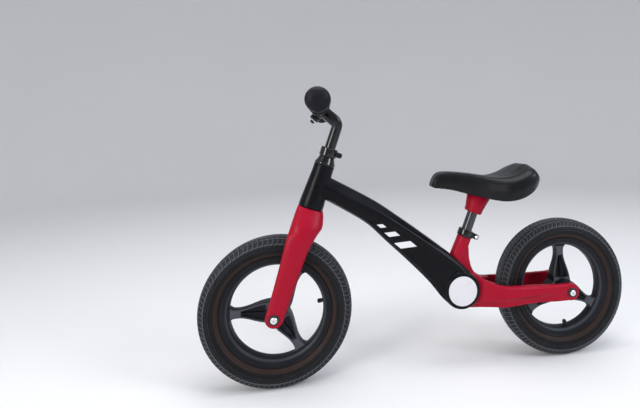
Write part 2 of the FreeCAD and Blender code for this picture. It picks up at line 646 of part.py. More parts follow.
def make_saddle():
    """Post, red bracket, stiff base and dished pad."""
    post = ring("seat_post", d.post_radius - d.post_wall, d.post_radius, d.post_bottom, 84,
                COLLAR, SEAT)
    node(post, "seat_post")
    node(rod("seat_post_plug", d.post_radius - d.post_wall, d.post_bottom, d.post_bottom + 12,
             COLLAR, SEAT), "seat_post_plug")
    cone = turned("bracket_cone", [
        (0, d.bracket_low), (d.bracket_low_radius, d.bracket_low),
        (d.bracket_low_radius + 1.5, d.bracket_low + 2),
        (d.bracket_low_radius + 2, d.bracket_low + 10),
        (d.bracket_high_radius, d.bracket_high + 6), (0, d.bracket_high + 6),
    ], COLLAR, SEAT)
    floor = value(d.saddle_floor)
    spots = [(-118, 8), (-118, -8), (-142, 14), (-142, -14)]
    trims = [
        brick("bracket_trim", (-220, -60, floor), (0, 60, floor + 60)),
        rod("bracket_hole", d.post_radius, d.bracket_low - 1, 84, COLLAR, SEAT),
    ]
    for x, y in spots:
        trims.append(rod("bracket_screw_hole", 2.2, floor - 9, floor + 1, (x, y, 0), UPRIGHT))
    node(cut("saddle_bracket", cone, trims), "saddle_bracket")
    low = floor + value(d.saddle_base_width)
    base_plan = plate("saddle_base_side", "XZ_Plane", [
        (-40, floor, 4), (-40, low, 0), (-215, low, 0), (-215, floor, 4),
    ], d.grip_end * 0.3)
    base_side = slab("saddle_base_plan", "XY_Plane", [
        (-36, -11, 8), (-110, -15, 40), (-170, -46, 30), (-217, -46, 20), (-217, 46, 20),
        (-170, 46, 30), (-110, 15, 40), (-36, 11, 8),
    ], 360, 400)
    plate_block = join("saddle_base_block", "MultiCommon", [base_plan, base_side])
    holes = [rod("saddle_screw_hole", 2.2, floor - 20, floor + 20, (x, y, 0), UPRIGHT)
             for x, y in spots]
    node(cut("saddle_base", plate_block, holes), "saddle_base")
    screws = []
    for x, y in spots:
        screws.append(turned("saddle_screw", [
            (0, floor - 9), (2.2, floor - 9), (2.2, low), (4, low), (4, low + 1.8), (0, low + 1.8),
        ], (x, y, 0), UPRIGHT))
    node(join("saddle_screws", "Compound", screws), "saddle_screws")

    pad_side = slab("pad_side", "XZ_Plane", [
        (-11.7, 380, 5), (-18, 407, 10), (-38, 411, 12), (-150, 394, 60), (-192, 405, 40),
        (-219, 424, 9), (-236, 410, 30), (-250, 376, 4), (-223, 365, 40), (-165, 342, 50),
        (-110, 358, 60), (-60, 376, 60),
    ], -80, 80)
    pad_plan = slab("pad_plan", "XY_Plane", [
        (-11.5, -20, 16), (-95, -23, 60), (-165, -70, 50), (-246, -72, 30),
        (-246, 72, 30), (-165, 70, 50), (-95, 23, 60), (-11.5, 20, 16),
    ], 330, 440)
    pad_block = join("pad_block", "MultiCommon", [pad_side, pad_plan])
    hollow_side = slab("hollow_side", "XZ_Plane", [
        (-30, 340, 0), (-30, low, 0), (-222, low, 0), (-222, 340, 0),
    ], -80, 80)
    hollow_plan = slab("hollow_plan", "XY_Plane", [
        (-28, -13, 8), (-110, -17, 40), (-170, -58, 30), (-228, -60, 20), (-228, 60, 20),
        (-170, 58, 30), (-110, 17, 40), (-28, 13, 8),
    ], 330, 440)
    hollow = join("pad_hollow", "MultiCommon", [hollow_side, hollow_plan])
    room = [rod("screw_head_room", 4.2, low - 1, low + 2, (x, y, 0), UPRIGHT)
            for x, y in spots]
    room.append(turned("bracket_room", [
        (0, d.bracket_low), (d.bracket_low_radius + 3, d.bracket_low),
        (d.bracket_low_radius + 3, d.bracket_low + 10),
        (d.bracket_high_radius + 2, d.bracket_high + 9), (0, d.bracket_high + 9),
    ], COLLAR, SEAT))
    node(cut("saddle_pad", pad_block, [hollow] + room), "saddle_pad")


make_front_frame()
make_rear_frame()
make_frame_joint()
make_headset()
make_clamp("seat_clamp", COLLAR, SEAT, d.seat_neck_radius, d.collar_radius, -d.collar_half,
           d.collar_half, d.ear_reach, 5)
make_axle("rear", REAR_HUB)
make_fork()
make_clamp("stem_clamp", FRONT_HUB, STEER, d.steerer_radius, 17.5, d.cap_top + 0.5,
           d.steerer_top, 23, 5)
make_axle("front", FRONT_HUB)
make_handlebar()
make_wheel("front", FRONT_HUB, 0)
make_wheel("rear", REAR_HUB, -90)
make_saddle()

doc.recompute()
for item in doc.Objects:
    if {"Invalid", "Error"} & set(item.State):
        raise RuntimeError(f"{item.Name} failed: {item.State}")
os.makedirs("parts", exist_ok=True)
for item in nodes:
    shape = item.Shape
    if shape.isNull() or not shape.isValid() or not shape.Solids:
        raise RuntimeError(f"{item.Label} has no valid solid")
    shape.exportStep(f"parts/{item.Label}.step")
    print(f"{item.Label}: {len(shape.Solids)} solid(s), {shape.Volume / 1000:.1f} cm3")
print(len(nodes), "nodes")
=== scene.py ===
import json
import math

import bmesh
import bpy
from mathutils import Matrix, Vector
from mathutils.bvhtree import BVHTree


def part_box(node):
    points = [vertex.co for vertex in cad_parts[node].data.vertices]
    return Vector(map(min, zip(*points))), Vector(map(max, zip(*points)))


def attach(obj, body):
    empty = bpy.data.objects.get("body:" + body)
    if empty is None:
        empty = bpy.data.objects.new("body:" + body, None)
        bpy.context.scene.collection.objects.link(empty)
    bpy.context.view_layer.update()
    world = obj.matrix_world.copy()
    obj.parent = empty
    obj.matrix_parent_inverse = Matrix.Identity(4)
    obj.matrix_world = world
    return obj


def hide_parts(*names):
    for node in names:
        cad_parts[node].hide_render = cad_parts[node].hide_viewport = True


# A child's balance bike, dressed round its CAD frame. Metres; +X forward, +Y left, +Z up.
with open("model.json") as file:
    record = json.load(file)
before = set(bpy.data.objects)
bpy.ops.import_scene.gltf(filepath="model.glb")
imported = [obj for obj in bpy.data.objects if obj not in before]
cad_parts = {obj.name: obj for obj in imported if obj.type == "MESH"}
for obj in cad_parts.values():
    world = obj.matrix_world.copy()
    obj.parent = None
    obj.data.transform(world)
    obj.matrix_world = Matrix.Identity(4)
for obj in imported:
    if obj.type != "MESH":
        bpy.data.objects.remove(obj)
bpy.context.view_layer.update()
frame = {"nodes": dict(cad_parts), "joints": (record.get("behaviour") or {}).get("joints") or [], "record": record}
MM = 0.001
LEFT, RIGHT = 1, -1


def middle(node):
    low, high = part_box(node)
    return (low + high) / 2


def joint_axis(name):
    return Vector(next(j["axis"] for j in frame["joints"] if j["name"] == name)).normalized()


def local_frame(origin, up, forward_hint=Vector((1, 0, 0))):
    """A frame whose Z is `up` and whose X lies towards the hint."""
    side = up.cross(forward_hint).normalized()
    ahead = side.cross(up).normalized()
    turn = Matrix((ahead, side, up)).transposed().to_4x4()
    return Matrix.Translation(origin) @ turn


FRONT_HUB = middle("front_axle")
REAR_HUB = middle("rear_axle")
BOSS = Vector((middle("boss_cap_left").x, 0, middle("boss_cap_left").z))
BAR = middle("handlebar")
STEER_AXIS = joint_axis("steering_turn")
SEAT_AXIS = joint_axis("saddle_height")
COLLAR = middle("seat_post") + SEAT_AXIS * 0.5 * MM
STEER = local_frame(FRONT_HUB, STEER_AXIS)
SEAT = local_frame(COLLAR, SEAT_AXIS)
AXLE = Vector((0, 1, 0))
TYRE_RADIUS = FRONT_HUB.z
DROPOUT_OUTER = 50 * MM
DROPOUT_INNER = 38 * MM
AXLE_HOLE = 3.2 * MM
POST_BORE = 11.2 * MM
BOSS_HALF = 33 * MM
TONGUE_HALF = 19 * MM


# ---- mesh helpers

def add_object(name, data):
    item = bpy.data.objects.new(name, data)
    bpy.context.scene.collection.objects.link(item)
    return item


def mesh_object(name, points, faces):
    mesh = bpy.data.meshes.new(name)
    mesh.from_pydata([tuple(point) for point in points], [], faces)
    mesh.update()
    item = add_object(name, mesh)
    tidy_mesh(item)
    return item


def smooth(mesh):
    for polygon in mesh.polygons:
        polygon.use_smooth = True


def tidy_mesh(item):
    """Welds doubled points, turns the faces outwards and smooths the shading."""
    work = bmesh.new()
    work.from_mesh(item.data)
    bmesh.ops.remove_doubles(work, verts=work.verts, dist=0.002 * MM)
    bmesh.ops.recalc_face_normals(work, faces=work.faces)
    work.to_mesh(item.data)
    work.free()
    smooth(item.data)


def apply_modifiers(item):
    bpy.context.view_layer.update()
    graph = bpy.context.evaluated_depsgraph_get()
    mesh = bpy.data.meshes.new_from_object(item.evaluated_get(graph))
    item.modifiers.clear()
    old = item.data
    item.data = mesh
    bpy.data.meshes.remove(old)


def sharp_above(item, degrees):
    """Marks edges sharper than an angle, so that they stay crisp under smooth shading."""
    item.data.set_sharp_from_angle(angle=math.radians(degrees))


def mm(*rows):
    """Rows of numbers given in millimetres."""
    return [tuple(value * MM for value in row) for row in rows]


def rounded(corners, steps=5, closed=True):
    """Points of an outline of (u, v, radius) corners, with arcs of `steps` spans at each."""
    points = []
    count = len(corners)
    for index, (u, v, radius) in enumerate(corners):
        corner = Vector((u, v))
        open_end = not closed and index in (0, count - 1)
        if radius <= 0 or open_end:
            points.append(corner)
            continue
        before = Vector(corners[index - 1][:2]) - corner
        after = Vector(corners[(index + 1) % count][:2]) - corner
        half_angle = before.angle(after) / 2
        if half_angle > 1.56:
            points += [corner] * (steps + 1)
            continue
        reach = min(radius / math.tan(half_angle), before.length * 0.49, after.length * 0.49)
        radius = reach * math.tan(half_angle)
        bisector = (before.normalized() + after.normalized()).normalized()
        centre = corner + bisector * (radius / math.sin(half_angle))
        first = corner + before.normalized() * reach - centre
        last = corner + after.normalized() * reach - centre
        sweep = first.angle_signed(last)
        for step in range(steps + 1):
            points.append(centre + Matrix.Rotation(-sweep * step / steps, 2) @ first)
    return points


def turned_faces(segments, rows, spans):
    """Faces between `segments` copies of a profile of `rows` points, all the way round."""
    faces = []
    for segment in range(segments):
        following = (segment + 1) % segments
        for row in range(spans):
            above = (row + 1) % rows
            faces.append((segment * rows + row, following * rows + row,
                          following * rows + above, segment * rows + above))
    return faces


def lathe(name, corners, place, segments=96, steps=5, closed=False):
    """A profile of (radius, height, corner radius) turned about the frame's Z."""
    profile = rounded(corners, steps, closed)
    points = []
    rows = len(profile)
    for segment in range(segments):
        angle = math.tau * segment / segments
        for radius, height in profile:
            spot = Vector((radius * math.cos(angle), radius * math.sin(angle), height))
            points.append(place @ spot)
    spans = rows if closed else rows - 1
    return mesh_object(name, points, turned_faces(segments, rows, spans))


def loft(name, rings):
    """A closed skin through rings of equal point counts, with its two ends filled."""
    points = [point for ring in rings for point in ring]
    count = len(rings[0])
    faces = [tuple(range(count)), tuple(range(len(points) - count, len(points)))]
    for row in range(len(rings) - 1):
        for column in range(count):
            beside = (column + 1) % count
            faces.append((row * count + column, row * count + beside,
                          (row + 1) * count + beside, (row + 1) * count + column))
    return mesh_object(name, points, faces)


def swept(name, stations, ring_at):
    """A loft through evenly spaced rings, each given by its share of the way along."""
    return loft(name, [ring_at(index / stations) for index in range(stations + 1)])


def mirrored(corners):
    """An outline's corners, then the same corners on the other side of the middle."""
    return corners + [(-u, v, radius) for u, v, radius in reversed(corners)]


def oval(place, centre, length, width, power, count=48):
    """A ring round a centre in a frame: an ellipse at a power of 1, and squarer below it."""
    ring = []
    for step in range(count):
        angle = math.tau * step / count
        u, v = math.cos(angle), math.sin(angle)
        shape = Vector((math.copysign(abs(u) ** power, u) * length,
                        math.copysign(abs(v) ** power, v) * width, 0))
        ring.append(place @ (centre + shape))
    return ring


def bevelled(item, width, segments, degrees):
    """Rounds the edges that are sharper than an angle."""
    bevel = item.modifiers.new("edge", "BEVEL")
    bevel.width = width
    bevel.segments = segments
    bevel.limit_method = "ANGLE"
    bevel.angle_limit = math.radians(degrees)
    apply_modifiers(item)
    return item


def slab(name, corners, half, edge=0):
    """A side outline in X and Z, `half` thick each way along Y, with its edges rounded."""
    flat = [Vector((u, 0, v)) for u, v in rounded(corners, 6)]
    rings = [[point + Vector((0, side * half, 0)) for point in flat] for side in (-1, 1)]
    item = loft(name, rings)
    return bevelled(item, edge, 3, 50) if edge else item


def point_values(item, name, values):
    """Gives each of an object's points a number that its material can read."""
    layer = item.data.attributes.new(name, "FLOAT", "POINT")
    layer.data.foreach_set("value", values)


def joined(name, items):
    """Several meshes as one object."""
    work = bmesh.new()
    for item in items:
        work.from_mesh(item.data)
    mesh = bpy.data.meshes.new(name)
    work.to_mesh(mesh)
    work.free()
    for item in items:
        discard(item)
    smooth(mesh)
    return add_object(name, mesh)


def discard(item):
    mesh = item.data
    bpy.data.objects.remove(item)
    bpy.data.meshes.remove(mesh)


def cast(name, items, voxel, passes):
    """One casting: the pieces fused by remeshing, then smoothed so that their joins blend."""
    item = joined(name, items)
    remesh = item.modifiers.new("fuse", "REMESH")
    remesh.mode = "VOXEL"
    remesh.voxel_size = voxel
    remesh.use_smooth_shade = True
    soften = item.modifiers.new("blend", "SMOOTH")
    soften.factor = 0.5
    soften.iterations = passes
    apply_modifiers(item)
    smooth(item.data)
    return item


def carve(item, tools, sharp=35):
    """Cuts the tools out of the item, and marks edges sharper than `sharp` degrees."""
    for tool in tools:
        difference = item.modifiers.new("cut", "BOOLEAN")
        difference.operation = "DIFFERENCE"
        difference.solver = "EXACT"
        difference.object = tool
        apply_modifiers(item)
        discard(tool)
    smooth(item.data)
    sharp_above(item, sharp)


def along(points, share):
    """A point on a smooth curve through a few (u, v) points, at a share of its point count."""
    place = share * (len(points) - 1)
    start = min(int(place), len(points) - 2)
    t = place - start
    before = Vector(points[max(start - 1, 0)])
    first = Vector(points[start])
    last = Vector(points[start + 1])
    after = Vector(points[min(start + 2, len(points) - 1)])
    return 0.5 * (2 * first + (last - before) * t
                  + (2 * before - 5 * first + 4 * last - after) * t * t
                  + (3 * first - before - 3 * last + after) * t ** 3)


def between(stops, place):
    """The value at a place on a smooth curve through (place, value) stops, without overshoot."""
    if place <= stops[0][0]:
        return stops[0][1]
    if place >= stops[-1][0]:
        return stops[-1][1]
    slopes = [(high - low) / (last - first) for (first, low), (last, high)
              in zip(stops, stops[1:])]
    leans = [slopes[0]]
    for before, after in zip(slopes, slopes[1:]):
        flat = before * after <= 0
        leans.append(0 if flat else 2 * before * after / (before + after))
    leans.append(slopes[-1])
    for index, ((first, low), (last, high)) in enumerate(zip(stops, stops[1:])):
        if place <= last:
            span = last - first
            t = (place - first) / span
            return (low * (1 + 2 * t) * (1 - t) ** 2 + high * t * t * (3 - 2 * t)
                    + span * (leans[index] * t * (1 - t) ** 2
                              - leans[index + 1] * t * t * (1 - t)))
    return stops[-1][1]


def rod(name, radius, low, high, place, segments=64):
    return lathe(name, [(0, low, 0), (radius, low, 0), (radius, high, 0), (0, high, 0)],
                 place, segments)


def across(origin):
    """A frame at a point whose Z runs along the axle, to the rider's left."""
    return local_frame(origin, AXLE)


# ---- materials

class Finish:
    """A procedural material: one principled shader and what feeds it."""

    def __init__(self, name, color, roughness, metallic=0.0):
        self.name = name
        self.material = bpy.data.materials.new(name)
        self.material.use_nodes = True
        self.tree = self.material.node_tree
        self.shader = next(n for n in self.tree.nodes if n.type == "BSDF_PRINCIPLED")
        self.color = color
        self.set("Base Color", (*color, 1))
        self.set("Roughness", roughness)
        self.set("Metallic", metallic)
        self.coords = self.tree.nodes.new("ShaderNodeTexCoord").outputs["Object"]
        self.last_bump = None
        self.last_color = None

    def set(self, socket, value):
        self.shader.inputs[socket].default_value = value

    def node(self, kind, **inputs):
        item = self.tree.nodes.new(kind)
        for socket, value in inputs.items():
            item.inputs[socket].default_value = value
        return item

    def noise(self, scale, detail=4.0, roughness=0.55):
        item = self.node("ShaderNodeTexNoise", Scale=scale, Detail=detail, Roughness=roughness)
        self.tree.links.new(self.coords, item.inputs["Vector"])
        return item.outputs["Fac"]

    def ramp(self, source, low, high, first, last):
        item = self.node("ShaderNodeMapRange")
        for socket, value in zip(("From Min", "From Max", "To Min", "To Max"),
                                 (low, high, first, last)):
            item.inputs[socket].default_value = value
        self.tree.links.new(source, item.inputs["Value"])
        return item.outputs["Result"]

    def tint(self, source, color):
        """Mixes a second colour in where the source is high."""
        item = self.tree.nodes.new("ShaderNodeMix")
        item.data_type = "RGBA"
        if self.last_color is None:
            item.inputs["A"].default_value = (*self.color, 1)
        else:
            self.tree.links.new(self.last_color, item.inputs["A"])
        item.inputs["B"].default_value = (*color, 1)
        self.tree.links.new(source, item.inputs["Factor"])
        self.last_color = item.outputs["Result"]
        self.tree.links.new(self.last_color, self.shader.inputs["Base Color"])

    def vary_roughness(self, source, low, high):
        self.tree.links.new(self.ramp(source, 0.3, 0.7, low, high),
                            self.shader.inputs["Roughness"])

    def bump(self, source, strength, distance):
        item = self.node("ShaderNodeBump", Strength=strength, Distance=distance)
        self.tree.links.new(source, item.inputs["Height"])
        if self.last_bump is not None:
            self.tree.links.new(self.last_bump, item.inputs["Normal"])
        self.last_bump = item.outputs["Normal"]
        self.tree.links.new(self.last_bump, self.shader.inputs["Normal"])

    def edges(self, low, high):
        """High on sharp outer edges, where handling rubs a finish."""
        geometry = self.tree.nodes.new("ShaderNodeNewGeometry")
        return self.ramp(geometry.outputs["Pointiness"], low, high, 0, 1)

    def tint_points(self, name, high, color):
        """Mixes a colour in, up to `high`, by the number that each point carries."""
        layer = self.tree.nodes.new("ShaderNodeAttribute")
        layer.attribute_name = name
        self.tint(self.ramp(layer.outputs["Fac"], 0, 1, 0, high), color)


def powder_coat(name, color, worn, roughness):
    finish = Finish(name, color, roughness)
    finish.tint(finish.ramp(finish.noise(9, 3), 0.35, 0.75, 0, 0.3), worn)
    finish.tint(finish.ramp(finish.edges(0.54, 0.63), 0, 1, 0, 0.3), worn)
    finish.set("Specular IOR Level", 0.13)
    finish.vary_roughness(finish.noise(26, 4), roughness - 0.05, roughness + 0.09)
    finish.bump(finish.noise(1400, 2), 0.25, 0.06 * MM)
    finish.bump(finish.noise(160, 3), 0.12, 0.25 * MM)
    return finish


def gloss_paint(name, color):
    finish = Finish(name, color, 0.14)
    finish.set("Specular IOR Level", 0.3)
    finish.set("Coat Weight", 0.25)
    finish.set("Coat Roughness", 0.05)
    finish.vary_roughness(finish.noise(35, 4), 0.1, 0.24)
    finish.tint(finish.ramp(finish.edges(0.55, 0.65), 0, 1, 0, 0.4), (0.09, 0.09, 0.1))
    finish.bump(finish.noise(500, 2), 0.08, 0.05 * MM)
    return finish


def bare_metal(name, color, roughness):
    finish = Finish(name, color, roughness, 1.0)
    finish.vary_roughness(finish.noise(300, 5), roughness - 0.08, roughness + 0.12)
    finish.tint(finish.ramp(finish.noise(90, 4), 0.4, 0.8, 0, 0.5),
                tuple(0.72 * part for part in color))
    finish.bump(finish.noise(2200, 2), 0.15, 0.03 * MM)
    return finish


def rubber(name, color, dusty, roughness):
    finish = Finish(name, color, roughness)
    finish.set("Specular IOR Level", 0.14)
    finish.tint(finish.ramp(finish.noise(40, 5), 0.4, 0.75, 0, 0.4), dusty)
    finish.tint(finish.ramp(finish.edges(0.53, 0.61), 0, 1, 0, 0.4), dusty)
    finish.vary_roughness(finish.noise(70, 4), roughness - 0.08, roughness + 0.12)
    finish.bump(finish.noise(2600, 2), 0.35, 0.05 * MM)
    finish.bump(finish.noise(420, 3), 0.15, 0.12 * MM)
    return finish


def moulded(name, color, lighter, roughness, grain=1900):
    finish = Finish(name, color, roughness)
    finish.set("Specular IOR Level", 0.16)
    finish.tint(finish.ramp(finish.noise(14, 3), 0.35, 0.75, 0, 0.3), lighter)
    finish.tint(finish.ramp(finish.edges(0.53, 0.6), 0, 1, 0, 0.7), lighter)
    finish.vary_roughness(finish.noise(45, 4), roughness - 0.06, roughness + 0.08)
    finish.bump(finish.noise(grain, 2), 0.2, 0.05 * MM)
    return finish


def saddle_skin():
    """Smooth self-skinned foam with a very fine leather grain."""
    finish = Finish("saddle_skin", (0.004, 0.0045, 0.0055), 0.33)
    finish.set("Specular IOR Level", 0.2)
    cells = finish.node("ShaderNodeTexVoronoi", Scale=900.0)
    finish.tree.links.new(finish.coords, cells.inputs["Vector"])
    finish.tint(finish.ramp(finish.noise(22, 4), 0.4, 0.75, 0, 0.5), (0.009, 0.009, 0.011))
    finish.vary_roughness(finish.noise(60, 4), 0.3, 0.4)
    finish.bump(cells.outputs["Distance"], 0.12, 0.12 * MM)
    finish.bump(finish.noise(130, 3), 0.1, 0.3 * MM)
    return finish


def tyre_skin():
    """Black sidewalls; block tops greyer where worn, a painted highlight on the blocks' edges, lighter sidewall
    rings and a painted brownish sheen by the rim.
    """
    finish = rubber("tyre_rubber", (0.005, 0.005, 0.006), (0.014, 0.0145, 0.016), 0.5)
    # Painted highlight on the tread blocks' leading edges and outer ends, lighter sidewall rings, and greyer worn
    # block tops.
    finish.tint_points("wear_and_highlight", 1.0, (0.1, 0.105, 0.12))
    # Painted brownish sheen on the sidewall beside the rim.
    finish.tint_points("warm_sheen", 0.5, (0.04, 0.019, 0.012))
    return finish


def wheel_skin():
    """Satin moulding, with a painted highlight along the spokes' walls and the rim's lip."""
    finish = moulded("wheel_black", (0.004, 0.0045, 0.0065), (0.02, 0.022, 0.03), 0.4)
    # Painted highlight: the points marked in make_wheel are lightened as if catching light.
    finish.tint_points("edge", 0.8, (0.07, 0.075, 0.09))
    return finish


FINISHES = {finish.name: finish for finish in (
    powder_coat("black_casting", (0.003, 0.003, 0.0045), (0.006, 0.007, 0.01), 0.3),
    powder_coat("red_paint", (0.31, 0.003, 0.018), (0.36, 0.006, 0.029), 0.36),
    gloss_paint("black_gloss", (0.005, 0.005, 0.006)),
    bare_metal("zinc_steel", (0.78, 0.78, 0.8), 0.22),
    bare_metal("bearing_steel", (0.55, 0.56, 0.58), 0.3),
    moulded("black_steel", (0.009, 0.009, 0.01), (0.04, 0.04, 0.042), 0.4, 2600),
    wheel_skin(),
    moulded("black_plastic", (0.009, 0.009, 0.01), (0.035, 0.035, 0.037), 0.5),
    moulded("pale_disc", (0.66, 0.65, 0.68), (0.57, 0.56, 0.6), 0.42, 1500),
    moulded("pale_print", (0.72, 0.72, 0.74), (0.64, 0.64, 0.66), 0.45, 1200),
    rubber("grip_rubber", (0.006, 0.006, 0.009), (0.018, 0.018, 0.023), 0.45),
    tyre_skin(),
    rubber("tube_rubber", (0.01, 0.01, 0.01), (0.03, 0.03, 0.03), 0.6),
    saddle_skin(),
)}


def dress(item, slot, body, *nodes):
    """Finishes a piece: its material, its body, its slot and the CAD nodes it stands for."""
    item.data.materials.clear()
    item.data.materials.append(FINISHES[slot].material)
    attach(item, body)
    if nodes:
        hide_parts(*nodes)


def dress_cad():
    slots = {part["node"]: part["material_slot"] for part in frame["record"]["subparts"]}
    for name, item in frame["nodes"].items():
        item.data.materials.clear()
        item.data.materials.append(FINISHES[slots[name]].material)


# ---- front frame

# The beam's two edges from the head tube to the boss, in X and Z.
BEAM_TOP = [(0.205, 0.411), (0.1846, 0.4007), (0.1098, 0.3579), (0.0543, 0.3187),
            (-0.0013, 0.2767), (-0.056, 0.233), (-0.085, 0.2045), (-0.101, 0.185)]
BEAM_BOTTOM = [(0.216, 0.368), (0.1755, 0.3443), (0.1256, 0.3121), (0.0865, 0.2743),
               (0.042, 0.231), (-0.001, 0.1862), (-0.027, 0.153), (-0.043, 0.137)]
# How much of the beam's depth its round upper tube takes, from the head tube to the boss.
BEAM_TUBE = [(0, 0.97), (0.2, 0.93), (0.345, 0.57), (0.425, 0.45), (0.515, 0.36), (0.65, 0.29),
             (0.81, 0.23), (1, 0.2)]


def beam_ring(share):
    """One slice of the beam: a round upper tube over a sunk panel with a soft keel."""
    top = along(BEAM_TOP, share)
    bottom = along(BEAM_BOTTOM, share)
    rise = top - bottom
    depth = rise.length
    up = rise / depth
    half = between([(0, 20 * MM), (0.25, 24 * MM), (0.6, 27.5 * MM), (1, 32 * MM)], share)
    tube = between(BEAM_TUBE, share) * depth
    sunk = between([(0, 0.2 * MM), (0.2, 1 * MM), (0.35, 4.2 * MM), (0.8, 3.4 * MM),
                    (1, 0.8 * MM)], share)
    keel = between([(0, 0.12), (0.25, 0.1), (1, 0.14)], share) * depth
    # Wide at the top near the boss, where the slot leaves only the cheeks, and below too.
    crown = between([(0, 0.44), (0.45, 0.5), (0.7, 0.8), (1, 0.86)], share) * half
    foot = between([(0, 0.5), (0.6, 0.55), (0.85, 0.82), (1, 0.93)], share) * half
    corners = [
        (foot, 0, 6 * MM), (half - sunk * 0.8, keel, 6 * MM),
        (half - sunk, keel + 4 * MM, 2 * MM), (half - sunk, depth - tube, 0.8 * MM),
        (half, depth - tube * 0.88, tube * 0.22),
        (half + 0.3 * MM, depth - tube * 0.45, tube * 0.3),
        (crown, depth, min(10 * MM, tube * 0.4)),
    ]
    ring = []
    for u, v in rounded(mirrored(corners), 5):
        spot = bottom + up * v
        ring.append(Vector((spot.x, u, spot.y)))
    return ring


def make_front_frame():
    """The beam, boss and head tube as one casting, with its slot, bores and recesses cut."""
    beam = swept("beam", 70, beam_ring)
    half = BOSS_HALF
    boss = lathe("boss", [
        (0, -half, 0), (38.5 * MM, -half, 5 * MM), (38.5 * MM, half, 5 * MM), (0, half, 0),
    ], across(BOSS))
    low, high = 211.8 * MM, 302.3 * MM
    tube = lathe("head_tube", [
        (0, low, 0), (25.3 * MM, low, 1.2 * MM), (25.3 * MM, low + 10 * MM, 30 * MM),
        (21 * MM, high - 14 * MM, 40 * MM), (21 * MM, high, 1.2 * MM), (0, high, 0),
    ], STEER)
    item = cast("front_frame_casting", [beam, boss, tube], 1.1 * MM, 4)
    slot = slab("slot", [
        (-0.16, 0.06, 0), (-0.048, 0.06, 0), (-0.0355, 0.146, 0.02), (-0.0245, 0.178, 0.04),
        (-0.0245, 0.208, 0.04), (-0.04, 0.262, 0), (-0.12, 0.32, 0), (-0.16, 0.32, 0),
    ], TONGUE_HALF + 0.1 * MM)
    below, above = 0.195, 0.32
    tools = [
        slot,
        rod("bore", 17 * MM, below, above, STEER),
        rod("cup_low", 21 * MM, below, low + 6.5 * MM, STEER),
        rod("cup_high", 18.6 * MM, high - 7 * MM, above, STEER),
    ]
    for side in (LEFT, RIGHT):
        ends = sorted((side * (half - 1.2 * MM), side * 0.05))
        tools.append(rod("recess", 30.9 * MM, ends[0], ends[1], across(BOSS), 128))
    carve(item, tools)
    dress(item, "black_casting", "frame", "front_frame")
    return item


def on_surface(item, outline, side, rise=0.22 * MM, cells=14):
    """A thin mark of a four-sided outline laid on an object's side, following its surface."""
    tree = BVHTree.FromObject(item, bpy.context.evaluated_depsgraph_get())
    first, second, third, fourth = [Vector(corner) for corner in outline]
    points, faces = [], []
    for row in range(cells + 1):
        for column in range(cells + 1):
            near = first.lerp(second, column / cells)
            far = fourth.lerp(third, column / cells)
            spot = near.lerp(far, row / cells)
            start = Vector((spot.x, side * 0.08, spot.y))
            hit = tree.ray_cast(start, Vector((0, -side, 0)))[0]
            points.append(hit + Vector((0, side * rise, 0)))
    for row in range(cells):
        for column in range(cells):
            corner = row * (cells + 1) + column
            faces.append((corner, corner + 1, corner + cells + 2, corner + cells + 1))
    mark = mesh_object("mark", points, faces)
    thick = mark.modifiers.new("film", "SOLIDIFY")
    thick.thickness = rise * 1.8
    thick.offset = 0
    apply_modifiers(mark)
    return mark


def make_marks(casting):
    """Three plain slanted bars on each side of the beam, each longer than the last."""
    marks = []
    for x, z, length, size in ((0.0955, 0.3068, 0.012, 0.75), (0.0738, 0.2888, 0.0225, 0.95),
                               (0.0466, 0.2656, 0.034, 1.3)):
        edge = Vector((-1, 0.07)) * length
        lean = Vector((-0.0105, -0.0092)) * size
        near = Vector((x, z)) - (edge + lean) / 2
        outline = (near, near + edge, near + edge + lean, near + lean)
        for side in (LEFT, RIGHT):
            marks.append(on_surface(casting, outline, side))
    dress(joined("beam_bars", marks), "pale_print", "frame", "beam_marks")


def make_discs():
    for side, name in ((LEFT, "left"), (RIGHT, "right")):
        node = f"boss_cap_{name}"
        low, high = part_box(node)
        thick = high.y - low.y
        start = Vector((BOSS.x, low.y if side == LEFT else high.y, BOSS.z))
        place = local_frame(start, AXLE * side)
        radius = (high.x - low.x) / 2
        disc = lathe(f"boss_disc_{name}", [
            (0, 0, 0), (radius, 0, 0.2 * MM), (radius, thick - 0.2 * MM, 0.7 * MM),
            (radius - 4 * MM, thick, 3 * MM), (0, thick, 0),
        ], place, 128)
        dress(disc, "pale_disc", "frame", node)


# ---- rear frame

STAY_TOP = [(-0.095, 0.196), (-0.112, 0.188), (-0.13, 0.1765), (-0.1634, 0.1694),
            (-0.2167, 0.1674), (-0.2702, 0.166), (-0.307, 0.166)]
STAY_BOTTOM = [(-0.066, 0.1262), (-0.092, 0.1215), (-0.125, 0.123), (-0.164, 0.1255),
               (-0.217, 0.128), (-0.27, 0.1305), (-0.307, 0.131)]
# How far up the stay its crease runs, from the yoke back to the dropout.
STAY_CREASE = [(-0.3, 0.56), (-0.185, 0.52), (-0.131, 0.32), (-0.095, 0.12), (-0.074, 0.04)]


